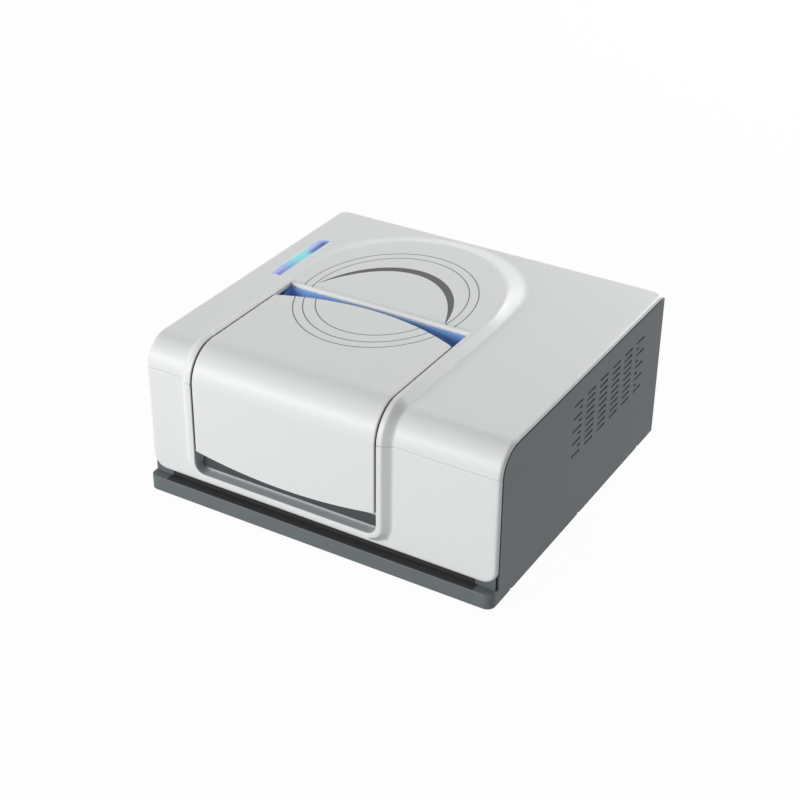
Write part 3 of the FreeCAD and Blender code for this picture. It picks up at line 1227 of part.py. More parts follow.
inlet_body = [block("inlet_box", (inlet_x - 13.5, inlet_x + 13.5), (panel_face - 20, panel_face + 1),
                    (inlet_z - 10, inlet_z + 10)),
              block("inlet_flange", (inlet_x - 15.5, inlet_x + 15.5), (panel_face, panel_face + 2.2),
                    (inlet_z - 12, inlet_z + 12))]
inlet_mouth = block("inlet_mouth", (inlet_x - 12, inlet_x + 12), (panel_face - 15, panel_face + 3),
                    (inlet_z - 8, inlet_z + 8))
keep("mains_inlet", remove("mains_inlet_cut", join("inlet_solid", *inlet_body), inlet_mouth))
blades = [block(f"blade_{n}", (inlet_x + x - 1, inlet_x + x + 1), (panel_face - 15, panel_face - 4.5),
                (inlet_z + z - 2, inlet_z + z + 2)) for n, (x, z) in enumerate(((-7, -2), (0, 2), (7, -2)))]
keep("inlet_blades", join("inlet_blade_set", *blades))

pivot_y = panel_face - 2
switch_body = [block("switch_box", (switch_x - 6.5, switch_x + 6.5), (panel_face - 16, panel_face + 1),
                     (switch_z - 9.7, switch_z + 9.7)),
               block("switch_bezel", (switch_x - 8, switch_x + 8), (panel_face, panel_face + 1.4),
                     (switch_z - 11.5, switch_z + 11.5))]
switch_room = block("switch_room", (switch_x - 5.8, switch_x + 5.8), (panel_face - 10, panel_face + 3),
                    (switch_z - 9, switch_z + 9))
axle_radius, axle_fit = 1.2, 1.25
axle_hole = block("switch_axle_hole", (switch_x - 6.3, switch_x + 6.3), (pivot_y - axle_fit, pivot_y + axle_fit),
                  (switch_z - axle_fit, switch_z + axle_fit))
keep("switch_housing", remove("switch_cut", join("switch_solid", *switch_body), switch_room, axle_hole))
rocker_outline = wire_of([Vector(-5.5, v, u) for u, v in (
    (-8.2, -2), (-8.2, 2.6), (0, 1.4), (8.2, 2.6), (8.2, -2), (2, -5), (-2, -5))])
rocker_blade = across("rocker_blade", rocker_outline, 11)
rocker_axle = across("rocker_axle", wire_of([
    Vector(-6.1, axle_radius * math.sin(math.pi * n / 4), axle_radius * math.cos(math.pi * n / 4))
    for n in range(8)]), 12.2)
rocker_join = join("rocker_joined", rocker_blade, rocker_axle)
doc.recompute()
rocker = doc.addObject("Part::Feature", "rocker_placed")
rocker.Shape = rocker_join.Shape.copy()
rocker_tilt = 10
rocker.Placement = FreeCAD.Placement(Vector(float(switch_x), float(pivot_y), float(switch_z)),
                                     FreeCAD.Rotation(X, rocker_tilt)).multiply(rocker.Placement)
keep("switch_rocker", rocker)

usb_shell = block("usb_shell", (usb_x - usb_wide / 2, usb_x + usb_wide / 2), (panel_face - 16, panel_face + 1),
                  (usb_z - usb_high / 2, usb_z + usb_high / 2))
usb_mouth = block("usb_mouth", (usb_x - 4.5, usb_x + 4.5), (panel_face - 9, panel_face + 2),
                  (usb_z - 4.2, usb_z + 4.2))
usb_tongue = block("usb_tongue", (usb_x - 2.8, usb_x + 2.8), (panel_face - 10, panel_face - 4),
                   (usb_z - 1.5, usb_z + 1.5))
keep("usb_socket", join("usb_joined", remove("usb_cut", usb_shell, usb_mouth), usb_tongue))
network_shell = block("network_shell", (network_x - network_wide / 2, network_x + network_wide / 2),
                      (panel_face - 18, panel_face + 1), (network_z - network_high / 2, network_z + network_high / 2))
network_mouth = block("network_mouth", (network_x - 6, network_x + 6), (panel_face - 13, panel_face + 2),
                      (network_z - 4, network_z + 4.5))
network_notch = block("network_notch", (network_x - 3, network_x + 3), (panel_face - 13, panel_face + 2),
                      (network_z - 5.8, network_z - 3))
keep("network_socket", remove("network_cut", network_shell, network_mouth, network_notch))

fan_half = s.fan_size / 2
fan_back = panel_back - s.fan_depth
fan_blank = block("fan_blank", (fan_x - fan_half, fan_x + fan_half), (fan_back, panel_back),
                  (fan_z - fan_half, fan_z + fan_half))
fan_tunnel = remove("fan_tunnel", polygon_bar("fan_tunnel_bore", s.fan_bore + 0.3, 24, fan_x,
                                              (fan_back - 1, panel_back + 1), fan_z),
                    block("fan_motor", (fan_x - 7, fan_x + 7), (fan_back - 2, fan_back + 4), (fan_z - 7, fan_z + 7)))
spokes = [block(f"fan_spoke_{n}", limits_x, (fan_back, fan_back + 3), limits_z)
          for n, (limits_x, limits_z) in enumerate((
              ((fan_x - s.fan_bore - 0.5, fan_x + s.fan_bore + 0.5), (fan_z - 1.5, fan_z + 1.5)),
              ((fan_x - 1.5, fan_x + 1.5), (fan_z - s.fan_bore - 0.5, fan_z + s.fan_bore + 0.5))))]
fan_axle = rod("fan_axle", 1.5, fan_x, (fan_back + 3, fan_back + 12), fan_z)
keep("fan_frame", join("fan_frame_joined", remove("fan_duct", fan_blank, fan_tunnel), *spokes, fan_axle))

blade_count = 7
hub = polygon_bar("fan_hub", 9, blade_count * 2, fan_x, (fan_back + 4.6, fan_back + 17), fan_z)
hub_bore = rod("fan_hub_bore", 1.5 + s.running_clearance, fan_x, (fan_back + 4, fan_back + 13), fan_z)
vanes = [remove("fan_hub_bored", hub, hub_bore)]
doc.recompute()
for n in range(blade_count):
    vane = doc.addObject("Part::Feature", f"fan_vane_{n}")
    vane.Shape = Part.makeBox(1.4, 9, 9.7, Vector(-0.7, -4.5, 8.5))
    tilt = FreeCAD.Placement(Vector(0, 0, 0), FreeCAD.Rotation(Z, 35))
    turn = FreeCAD.Placement(Vector(float(fan_x), float(fan_back) + 10.8, float(fan_z)),
                             FreeCAD.Rotation(Y, 360 * n / blade_count))
    vane.Placement = turn.multiply(tilt)
    vanes.append(vane)
keep("fan_rotor", join("fan_rotor_joined", *vanes))

guard_sheet, guard_bar, guard_slots = 1.4, 1.6, 7
guard_plate = block("guard_plate", (fan_x - fan_half, fan_x + fan_half), (panel_face, panel_face + guard_sheet),
                    (fan_z - fan_half, fan_z + fan_half))
guard_pitch = (s.fan_size - guard_bar * 2) / guard_slots
guard_holes = []
for n in range(guard_slots):
    slot_low = fan_z - fan_half + guard_bar * 1.5 + guard_pitch * n
    slot_half = s.fan_bore - guard_bar * (2.5 if n in (0, guard_slots - 1) else 0.5)
    guard_holes.append(block(f"guard_slot_{n}", (fan_x - slot_half, fan_x + slot_half),
                             (panel_face - 1, panel_face + guard_sheet + 1),
                             (slot_low, slot_low + guard_pitch - guard_bar)))
keep("fan_guard", remove("fan_guard_cut", guard_plate, *guard_holes))


# Main board on its posts, and the power supply

board_front, board_rear = panel_back - s.board_depth - 1, panel_back - 1
board_blank = block("board_blank", (board_left, board_right), (board_front, board_rear),
                    (board_z, board_z + board_sheet))
chips = [block(f"chip_{n}", (x, x + wide_by), (board_front + y, board_front + y + deep),
               (board_z + board_sheet, board_z + board_sheet + high))
         for n, (x, y, wide_by, deep, high) in enumerate((
             (board_left + 44, 12, 28, 28, 2.4), (board_right - 54, 20, 16, 16, 2.4),
             (board_left + 16, 18, 22, 14, 2.4), (board_right - 34, 48, 26, 20, 14)))]
keep("main_board", join("main_board_joined", board_blank, *chips))
post_half = s.post_width / 2
board_posts = []
for n, (x, y) in enumerate(foot_places):
    post_x = board_left + s.post_width if x == -1 else board_right - s.post_width
    post_y = board_front + s.post_width if y == -1 else board_rear - s.post_width
    board_posts.append(block(f"board_post_{n}", (post_x - post_half, post_x + post_half),
                             (post_y - post_half, post_y + post_half), (tray_floor, board_z)))
keep("board_posts", join("board_post_set", *board_posts))

supply_left = -s.width / 2 + s.supply_from_side
supply_rear = panel_back - s.supply_from_panel
supply_front = supply_rear - s.supply_depth
supply_top = tray_floor + s.supply_height
supply_box = block("supply_box", (supply_left, supply_left + s.supply_width), (supply_front, supply_rear),
                   (tray_floor, supply_top))
supply_pitch = s.supply_width / 9
supply_slots = [block(f"supply_slot_{n}", (supply_left + supply_pitch * (n + 1.2), supply_left + supply_pitch * (n + 1.6)),
                      (supply_front + supply_pitch, supply_rear - supply_pitch), (supply_top - 2, supply_top + 1))
                for n in range(7)]
keep("power_supply", remove("power_supply_cut", supply_box, *supply_slots))


# Recompute, check and write every sub-part

doc.recompute()
for item in doc.Objects:
    if "Invalid" in item.State or "Error" in item.State:
        raise RuntimeError(f"{item.Name} failed: {item.State}")
os.makedirs("parts", exist_ok=True)
for item in subparts:
    shape = item.Shape
    if shape.isNull() or not shape.isValid() or not shape.Solids:
        raise RuntimeError(f"{item.Label} has no valid solid")
for item in subparts:
    item.Shape.exportStep(f"parts/{item.Label}.step")
print(len(subparts), "sub-parts written")
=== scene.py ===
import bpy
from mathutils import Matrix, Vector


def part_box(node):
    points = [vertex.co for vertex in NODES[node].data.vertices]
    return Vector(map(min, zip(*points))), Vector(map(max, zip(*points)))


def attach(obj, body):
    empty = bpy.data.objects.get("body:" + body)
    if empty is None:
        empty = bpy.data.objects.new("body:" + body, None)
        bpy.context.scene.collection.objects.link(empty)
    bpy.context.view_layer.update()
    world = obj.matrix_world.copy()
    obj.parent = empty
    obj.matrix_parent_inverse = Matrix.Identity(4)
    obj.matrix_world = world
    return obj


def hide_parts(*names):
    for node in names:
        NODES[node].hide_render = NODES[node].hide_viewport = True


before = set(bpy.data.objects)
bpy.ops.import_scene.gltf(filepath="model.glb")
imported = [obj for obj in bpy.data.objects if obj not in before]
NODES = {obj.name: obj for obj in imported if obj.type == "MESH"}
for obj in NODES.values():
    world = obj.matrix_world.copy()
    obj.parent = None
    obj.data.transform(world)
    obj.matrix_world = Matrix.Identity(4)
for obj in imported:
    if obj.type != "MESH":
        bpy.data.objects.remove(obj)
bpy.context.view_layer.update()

import math

import bmesh
import bpy
import numpy as np
from mathutils import Matrix, Vector

# Tray and side panels: folded from 2.5 mm steel sheet and powder coated in a matt dark
# grey. The tray's front edge stands out as a lip under the white front. The coat has a
# fine orange peel.


def linear(*display):
    """Colour from display values between 0 and 255."""
    v = np.array(display) / 255
    return tuple(float(c) for c in np.where(v < 0.04045, v / 12.92, ((v + 0.055) / 1.055) ** 2.4))


def shader_node(tree, kind, inputs=(), **settings):
    """A node with its settings made and its inputs fed, from numbers, colours or sockets."""
    node = tree.nodes.new(kind)
    for key, value in settings.items():
        setattr(node, key, value)
    for key, value in dict(inputs).items():
        if isinstance(value, bpy.types.NodeSocket):
            tree.links.new(value, node.inputs[key])
        else:
            node.inputs[key].default_value = value
    return node


def maths(tree, operation, *values, clamp=False):
    """Result of one sum on numbers or sockets; clamp keeps it between 0 and 1."""
    node = shader_node(tree, "ShaderNodeMath", dict(enumerate(values)), operation=operation, use_clamp=clamp)
    return node.outputs[0]


def group_of(name, inputs, outputs):
    """An empty shader group with named inputs and outputs, and its two end nodes."""
    tree = bpy.data.node_groups.new(name, "ShaderNodeTree")
    for label, kind in inputs:
        tree.interface.new_socket(label, in_out="INPUT", socket_type=kind)
    for label, kind in outputs:
        tree.interface.new_socket(label, in_out="OUTPUT", socket_type=kind)
    return tree, tree.nodes.new("NodeGroupInput"), tree.nodes.new("NodeGroupOutput")


def fine_surface_group():
    """Slow drift of tone, fine grain in height and roughness, from noise on the object's place."""
    drifts_per_metre = 14.0
    tree, given, made = group_of(
        "fine_surface",
        [("Colour", "NodeSocketColor"), ("Drift", "NodeSocketFloat"), ("Grain per metre", "NodeSocketFloat"),
         ("Roughness", "NodeSocketFloat"), ("Spread", "NodeSocketFloat")],
        [("Colour", "NodeSocketColor"), ("Roughness", "NodeSocketFloat"), ("Height", "NodeSocketFloat")])
    place = tree.nodes.new("ShaderNodeTexCoord").outputs["Object"]

    def noise(scale, detail):
        inputs = {"Vector": place, "Scale": scale, "Detail": detail}
        return shader_node(tree, "ShaderNodeTexNoise", inputs).outputs["Fac"]

    slow, fine = noise(drifts_per_metre, 2.0), noise(given.outputs["Grain per metre"], 3.0)
    shift = maths(tree, "MULTIPLY", maths(tree, "SUBTRACT", slow, 0.5), given.outputs["Drift"])
    value = maths(tree, "ADD", shift, 1.0)
    tone = shader_node(tree, "ShaderNodeHueSaturation", {"Color": given.outputs["Colour"], "Value": value})
    rough = maths(tree, "MULTIPLY_ADD", maths(tree, "SUBTRACT", fine, 0.5), given.outputs["Spread"],
                  given.outputs["Roughness"])
    tree.links.new(tone.outputs["Color"], made.inputs["Colour"])
    tree.links.new(rough, made.inputs["Roughness"])
    tree.links.new(fine, made.inputs["Height"])
    return tree


FINE_SURFACE = fine_surface_group()


def finish(name, colour, roughness, grain=0.0006, depth=0.00001, drift=0.06, spread=0.15, metallic=0.0,
           specular=0.5):
    """A material of one finish; grain and depth are in metres."""
    material = bpy.data.materials.new(name)
    material.use_nodes = True
    tree = material.node_tree
    shader = tree.nodes["Principled BSDF"]
    surface = shader_node(tree, "ShaderNodeGroup", node_tree=FINE_SURFACE)
    for label, value in (("Colour", (*colour, 1.0)), ("Drift", drift), ("Grain per metre", 1 / grain),
                         ("Roughness", roughness), ("Spread", spread)):
        surface.inputs[label].default_value = value
    bump = shader_node(tree, "ShaderNodeBump", {"Height": surface.outputs["Height"], "Distance": depth,
                                                "Strength": 1.0})
    tree.links.new(surface.outputs["Colour"], shader.inputs["Base Color"])
    tree.links.new(surface.outputs["Roughness"], shader.inputs["Roughness"])
    tree.links.new(bump.outputs["Normal"], shader.inputs["Normal"])
    shader.inputs["Metallic"].default_value = metallic
    shader.inputs["Specular IOR Level"].default_value = specular
    return material


def dress(material, *nodes):
    """Gives the frame's own nodes a material in place of the one they come with."""
    for node in nodes:
        NODES[node].data.materials.clear()
        NODES[node].data.materials.append(material)


COAT = finish("powder_coat", linear(93, 100, 103), roughness=0.55, grain=0.0008, depth=0.00003, drift=0.05)
dress(COAT, "base_chassis")


# Rear panel: a 2 mm steel plate in the same coat, held by pan-head screws with a cross
# recess. The screws go into the folded edge of the casing.

dress(COAT, "rear_panel")
STEEL = finish("bright_steel", linear(176, 178, 182), roughness=0.3, grain=0.0004, metallic=1.0)


def mesh_piece(name, points, faces, material, body, slot, smooth=True, merge=False, outward=False):
    """A mesh object from arrays of points and of faces, riding on a body. Merge joins points
    that fall together, and outward turns the faces of a closed shape out."""
    mesh = bpy.data.meshes.new(name)
    mesh.from_pydata(np.asarray(points).tolist(), [], [list(face) for face in faces])
    if merge or outward:
        work = bmesh.new()
        work.from_mesh(mesh)
        if merge:
            bmesh.ops.remove_doubles(work, verts=work.verts, dist=0.000002)
        if outward:
            bmesh.ops.recalc_face_normals(work, faces=work.faces)
        work.to_mesh(mesh)
        work.free()
    mesh.polygons.foreach_set("use_smooth", np.full(len(mesh.polygons), smooth))
    mesh.materials.append(material)
    mesh.update()
    piece = bpy.data.objects.new(name, mesh)
    bpy.context.scene.collection.objects.link(piece)
    if body:
        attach(piece, body)
    return piece


def grid_faces(rows, columns, closed=False):
    """Quads of a grid whose points run along the columns first; closed joins last to first."""
    across = columns if closed else columns - 1
    i, j = np.meshgrid(np.arange(rows - 1), np.arange(across), indexing="ij")
    k = (j + 1) % columns
    return np.stack([i * columns + j, i * columns + k, (i + 1) * columns + k, (i + 1) * columns + j],
                    axis=-1).reshape(-1, 4)


def screw_heads(name, centres, outward, radius, material, body, slot):
    """Domed heads with a cross recess: a profile of radius and height turned round, whose
    middle sinks where the angle lies in one of four arms. All sizes are shares of the
    head's radius."""
    radii = np.array([0.0, 0.12, 0.24, 0.36, 0.48, 0.6, 0.75, 0.88, 0.97, 1.0, 1.0]) * radius
    heights = np.array([0.52, 0.52, 0.515, 0.505, 0.49, 0.47, 0.42, 0.34, 0.2, 0.08, -0.1]) * radius
    arm_half, arm_reach, arm_depth = 0.13, 0.62, 0.28
    turns = np.linspace(0, 2 * np.pi, 48, endpoint=False)
    r, a = np.meshgrid(radii, turns, indexing="ij")
    h = np.repeat(heights[:, None], len(turns), axis=1)
    arm = np.minimum(np.abs(np.sin(a)), np.abs(np.cos(a))) * r < arm_half * radius
    h = np.where(arm & (r < arm_reach * radius), h - arm_depth * radius, h)
    outward = Vector(outward).normalized()
    side = outward.orthogonal().normalized()
    frame_of_head = np.array([side, outward.cross(side), outward])
    local = np.stack([r * np.cos(a), r * np.sin(a), h], axis=-1).reshape(-1, 3) @ frame_of_head
    faces = grid_faces(len(radii), len(turns), closed=True)[:, ::-1]
    points = np.concatenate([local + np.array(centre) for centre in centres])
    every = np.concatenate([faces + len(local) * n for n in range(len(centres))])
    return mesh_piece(name, points, every, material, body, slot)


SCREW_RADIUS = 0.0031
SCREW_SHARES = (-0.46, -0.155, 0.155, 0.46)
SCREW_FROM_FOOT, SCREW_FROM_TOP = 0.022, 0.014
panel_low, panel_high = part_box("rear_panel")
screw_rows = (panel_low[2] + SCREW_FROM_FOOT, panel_high[2] - SCREW_FROM_TOP)
screw_x = np.array(SCREW_SHARES) * (panel_high[0] - panel_low[0])
screw_spots = [(float(x), panel_high[1], z) for x in screw_x for z in screw_rows]
screw_heads("rear_panel_screws", screw_spots, (0, 1, 0), SCREW_RADIUS, STEEL, "casing", "steel")


# Rubber feet: four square moulded pads under the tray, each held by a screw in its middle.
# The bench's isolators and the chamber's gasket are moulded in the same black rubber.

RUBBER = finish("black_rubber", linear(38, 38, 40), roughness=0.8, grain=0.0005, depth=0.00004)
dress(RUBBER, "rubber_feet", "bench_isolators", "chamber_gasket")


# Top cover: one injection moulding in white, with a raised collar that frames the lid, runs
# over the front bend and closes behind in an arch round a plateau. The collar's crest is
# narrow and its flank eases into the flat cover. Fine rings on the plateau are painted as
# grey lines, painted shade of grooves.


def box_of(node):
    """Lower and upper corner of a node's box, to a hundredth of a millimetre."""
    return [np.round(np.array(corner, float), 5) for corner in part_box(node)]


def half_way(low, high):
    """Middle of two corners, to a hundredth of a millimetre."""
    return np.round((low + high) / 2, 5)


cover_low, cover_high = box_of("top_cover")
lid_low, lid_high = box_of("lid_shell")
HALF, REAR, BEND_Z = cover_high[0], cover_high[1], cover_low[2]
BEND, BEND_Y = 0.035, -0.1665
RELIEF = 0.0079
EDGE, BAND, PLAN_CORNER = 0.004, 0.0006, 0.007
WALL = 0.0028
LEVEL = REAR - BEND_Y
QUARTER = BEND * math.pi / 2
SEAM_Z, SEAM_GAP = 0.1629, 0.0005
SEAM_T = LEVEL + QUARTER - (SEAM_Z + SEAM_GAP - BEND_Z)

LID_X = half_way(lid_low, lid_high)[0]
OPEN_HALF, CREST_HALF, FLANK_HALF = 0.12, 0.1255, 0.1372
CREST_START, CREST_REACH = 0.02, 0.153
FLANK_START, FLANK_REACH, FOOT_MARGIN = 0.084, 0.123, 0.002
PLATEAU_EDGE = -0.008
RIM, RIM_REAR, RIM_REAR_FALL = 0.0012, 0.0062, 0.005
RIM_EASE, RIM_FADE = 0.012, 0.018
WALL_SHOWN = 0.0068
QUARTER_TURN = np.linspace(0, np.pi / 2, 7)


def along_casing(t):
    """Path over the casing: level from the rear, a quarter turn at the front, then down.
    Gives place and outward direction in the Y-Z plane for each length t."""
    angle = np.clip((t - LEVEL) / BEND, 0, np.pi / 2)
    y = REAR - np.minimum(t, LEVEL) - BEND * np.sin(angle)
    z = BEND_Z + BEND * np.cos(angle) - np.maximum(t - LEVEL - QUARTER, 0)
    return y, z, -np.sin(angle), np.cos(angle)


def arch_distance(x, y, half, start, reach):
    """Distance outside an arch: straight sides up to the start, then half an ellipse,
    taken as (f - 1) over the length of the gradient of f."""
    over = np.maximum(y - start, 0)
    f = np.maximum(np.hypot(x / half, over / reach), 1e-6)
    slope = np.hypot(x / half ** 2, over / reach ** 2) / f
    return np.where(y > start, (f - 1) / np.maximum(slope, 1e-6), np.abs(x) - half)


def collar_rise(to_flank, to_crest):
    """Height of the collar between its two outlines: a straight ramp, rounded at its foot
    and more tightly at its crest by parabolas that meet the ramp."""
    u = np.clip(-to_flank / np.maximum(to_crest - to_flank, 1e-6), 0, 1)
    u = np.where(to_flank > 0, 0.0, np.where(to_crest < 0, 1.0, u))
    foot, crest = 0.3, 0.16
    slope = 1 / (1 - foot / 2 - crest / 2)
    ramp = slope * (u - foot / 2)
    ramp = np.where(u < foot, slope * u * u / (2 * foot), ramp)
    return RELIEF * np.where(u > 1 - crest, 1 - slope * (1 - u) ** 2 / (2 * crest), ramp)


def spaced(*stops):
    """Coordinates through the given stops, each (place, largest step up to it)."""
    values = [np.array([stops[0][0]])]
    for (start, _), (end, step) in zip(stops, stops[1:]):
        count = max(1, int(math.ceil(abs(end - start) / step)))
        values.append(np.linspace(start, end, count + 1)[1:])
    return np.concatenate(values)


def turned_down(core, turn, drop, both_ends=True):
    """Lines of a grid with a turned edge laid before the core's, and after them at both
    ends: the place of each line, the angle it has turned and how far it has sunk below."""
    flat = np.zeros(len(core))
    last_turn, last_drop = (turn, drop) if both_ends else (turn[:0], drop[:0])
    place = np.concatenate([np.full(len(turn), core[0]), core, np.full(len(last_turn), core[-1])])
    angle = np.concatenate([turn[::-1], flat, last_turn])
    sunk = np.concatenate([drop[::-1], flat, last_drop])
    return place, angle, sunk


def opening_rim(edge, normal, at_left, at_right):
    """The rim of the lid's opening from its edge points: a quarter ellipse inwards and down,
    deeper along the rear with an ease at both corners, then the wall that shows below."""
    inward = np.zeros_like(edge)
    inward[:, 0] = RIM * (at_left * 1.0 - at_right)
    inward[:, 1] = -RIM_REAR * np.clip(1 - (edge[:, 1].max() - edge[:, 1]) / RIM_FADE, 0, 1)
    from_corner = np.minimum(edge[:, 0] - edge[:, 0].min(), edge[:, 0].max() - edge[:, 0])
    blend = np.clip(from_corner / RIM_EASE, 0, 1)
    fall = (RIM + (RIM_REAR_FALL - RIM) * blend * blend * (3 - 2 * blend))[:, None]
    angle = np.concatenate([QUARTER_TURN, [np.pi / 2] * 2])[:, None, None]
    deeper = np.array([0] * len(QUARTER_TURN) + [0.5, 1])[:, None, None] * (WALL_SHOWN - fall)
    return edge + inward * np.sin(angle) - normal * (fall * (1 - np.cos(angle)) + deeper)


def cover_surface():
    """The cover's outer face over a grid of width and path length. Past its sides and rear
    the grid turns down through a quarter circle and a short straight band, and the two rear
    corners are bent round in plan by the map of a square to a disc. The faces over the
    lid's opening are left out, and a rim is set round it."""
    left, right = LID_X - OPEN_HALF - RIM, LID_X + OPEN_HALF + RIM
    side, bent = HALF - EDGE, HALF - EDGE - PLAN_CORNER
    x_core = spaced((-side, 0), (-bent, 0.0012), (LID_X - FLANK_HALF - FOOT_MARGIN, 0.006), (left, 0.0008),
                    (left + RIM_EASE, 0.0015), (right - RIM_EASE, 0.004), (right, 0.0015),
                    (LID_X + FLANK_HALF + FOOT_MARGIN, 0.0008), (bent, 0.005), (side, 0.0012))
    opening_t = REAR - PLATEAU_EDGE - RIM_REAR
    t_core = spaced((EDGE, 0), (EDGE + PLAN_CORNER, 0.0012), (opening_t, 0.0015), (LEVEL, 0.004),
                    (SEAM_T, 0.0012))
    turn = np.concatenate([QUARTER_TURN[1:], [np.pi / 2]])
    drop = np.concatenate([np.zeros(len(QUARTER_TURN) - 1), [BAND]])
    steps = len(turn)
    x_base, x_turn, x_drop = turned_down(x_core, turn, drop)
    t_base, t_turn, t_drop = turned_down(t_core, turn, drop, both_ends=False)

    x, t = np.meshgrid(x_base, t_base)
    u = np.clip((np.abs(x) - bent) / PLAN_CORNER, 0, 1)
    v = np.clip((EDGE + PLAN_CORNER - t) / PLAN_CORNER, 0, 1)
    disc_u, disc_v = u * np.sqrt(1 - v * v / 2), v * np.sqrt(1 - u * u / 2)
    x = np.where(u > 0, np.sign(x) * (bent + PLAN_CORNER * disc_u), x)
    t = np.where(v > 0, EDGE + PLAN_CORNER * (1 - disc_v), t)
    long = np.maximum(np.hypot(disc_u, disc_v), 1e-9)
    out_x, out_t = np.sign(x) * disc_u / long, -disc_v / long
    turned = np.maximum(*np.meshgrid(x_turn, t_turn))
    sunk = np.maximum(*np.meshgrid(x_drop, t_drop))

    y, z, ny, nz = along_casing(t)
    rise = collar_rise(arch_distance(x - LID_X, y, FLANK_HALF, FLANK_START, FLANK_REACH),
                       arch_distance(x - LID_X, y, CREST_HALF, CREST_START, CREST_REACH))
    lift = rise - EDGE * (1 - np.cos(turned)) - sunk
    grown = EDGE * np.sin(turned)
    points = np.stack([x + out_x * grown, y + ny * lift - out_t * grown, z + nz * lift], axis=-1)

    rows, columns = points.shape[:2]
    i, j = np.divmod(np.arange((rows - 1) * (columns - 1)), columns - 1)
    first_row = steps + int(np.argmin(np.abs(t_core - opening_t)))
    first_column = steps + int(np.argmin(np.abs(x_core - left)))
    last_column = steps + int(np.argmin(np.abs(x_core - right)))
    hole = (i >= first_row) & (j >= first_column) & (j < last_column)
    corner = (i < steps) & ((j < steps) | (j >= columns - 1 - steps))
    faces = grid_faces(rows, columns)[:, ::-1][~(hole | corner)]

    sides = np.arange(first_row, rows)
    across = np.arange(first_column + 1, last_column)
    at_row = np.concatenate([sides[::-1], np.full(len(across), first_row), sides])
    at_column = np.concatenate([np.full(len(sides), first_column), across, np.full(len(sides), last_column)])
    normal = np.stack([np.zeros(len(at_row)), ny[at_row, at_column], nz[at_row, at_column]], axis=-1)
    rim = opening_rim(points[at_row, at_column], normal, at_column == first_column, at_column == last_column)
    rim_faces = grid_faces(*rim.shape[:2])[:, ::-1] + rows * columns
    return np.concatenate([points.reshape(-1, 3), rim.reshape(-1, 3)]), np.concatenate([faces, rim_faces])


RING_X, RING_Y, RING_STRETCH = LID_X - 0.0018, 0.0142, 1.203
RINGS = ("Ring 1", "Ring 2", "Ring 3")
OUTER_RING, MIDDLE_RING, INNER_RING, NO_RING = 0.1019, 0.0912, 0.0776, 5.0
RING_HALF_WIDTH = 0.00058
RING_LOWEST = 0.2035


def ring_groove_shade_group():
    """A mask of painted groove shade in thin rings round a centre on the top: one and a half less
    the distance from each ellipse's line in half widths, kept between 0 and 1, and 0 below the
    plateau."""
    tree, given, made = group_of(
        "ring_groove_shade", [(label, "NodeSocketFloat") for label in (*RINGS, "Half width")],
        [("Mask", "NodeSocketFloat")])
    place = tree.nodes.new("ShaderNodeTexCoord").outputs["Object"]
    parts = shader_node(tree, "ShaderNodeSeparateXYZ", {"Vector": place}).outputs
    x = maths(tree, "SUBTRACT", parts["X"], RING_X)
    y = maths(tree, "DIVIDE", maths(tree, "SUBTRACT", parts["Y"], RING_Y), RING_STRETCH)
    square = maths(tree, "ADD", maths(tree, "MULTIPLY", x, x), maths(tree, "MULTIPLY", y, y))
    radius = maths(tree, "SQRT", square)
    mask = None
    for label in RINGS:
        away = maths(tree, "ABSOLUTE", maths(tree, "SUBTRACT", radius, given.outputs[label]))
        widths = maths(tree, "DIVIDE", away, given.outputs["Half width"])
        line = maths(tree, "SUBTRACT", 1.5, widths, clamp=True)
        mask = line if mask is None else maths(tree, "MAXIMUM", mask, line)
    high = maths(tree, "GREATER_THAN", parts["Z"], RING_LOWEST)
    tree.links.new(maths(tree, "MULTIPLY", mask, high), made.inputs["Mask"])
    return tree


RING_GROOVE_SHADE = ring_groove_shade_group()
WHITE = linear(229, 231, 231)
# Grey of the ring lines: painted shade standing for grooves in the plateau.
GROOVE_SHADE_GREY = linear(78, 80, 83)


def colour_mix(tree, share, first, second):
    """A colour mixed from two, each a socket or a colour."""
    node = shader_node(tree, "ShaderNodeMix", data_type="RGBA")
    sockets = [node.inputs[0]] + [socket for socket in node.inputs if socket.type == "RGBA"]
    for socket, value in zip(sockets, (share, first, second)):
        if isinstance(value, bpy.types.NodeSocket):
            tree.links.new(value, socket)
        else:
            socket.default_value = value
    return [socket for socket in node.outputs if socket.type == "RGBA"][0]


def white_moulding(name, rings=None):
    """Satin white plastic, with rings of the given radii drawn on it as fine grey lines of painted groove
    shade.
    """
    material = finish(name, WHITE, roughness=0.42, grain=0.0005, depth=0.000004, drift=0.012, spread=0.08,
                      specular=0.35)
    if not rings:
        return material
    tree = material.node_tree
    base = tree.nodes["Principled BSDF"].inputs["Base Color"]
    # The ring mask darkens the white as painted groove shade.
    lines = shader_node(tree, "ShaderNodeGroup", node_tree=RING_GROOVE_SHADE)
    for label, value in zip((*RINGS, "Half width"), (*rings, RING_HALF_WIDTH)):
        lines.inputs[label].default_value = value
    plain = base.links[0].from_socket
    tree.links.new(colour_mix(tree, lines.outputs["Mask"], plain, (*GROOVE_SHADE_GREY, 1.0)), base)
    return material


def walled(piece, edge=0.0, segments=2):
    """Gives a surface its wall inwards, and where asked softens the wall's edges."""
    solid = piece.modifiers.new("wall", "SOLIDIFY")
    solid.thickness = WALL
    solid.offset = -1
    if not edge:
        return
    soft = piece.modifiers.new("soft_edge", "BEVEL")
    soft.width = edge
    soft.segments = segments
    soft.limit_method = "ANGLE"
    soft.angle_limit = math.radians(50)
    soft.harden_normals = True


COVER_WHITE = white_moulding("white_cover", (OUTER_RING, MIDDLE_RING, NO_RING))
cover = mesh_piece("moulded_cover", *cover_surface(), COVER_WHITE, "casing", "white_shell", merge=True)
walled(cover)
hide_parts("top_cover")


# Lower front panel: the same white moulding, parted from the cover by a fine seam. The
# collar runs down both sides of the lid's opening and turns below it. Its lower corners
# are round in elevation.

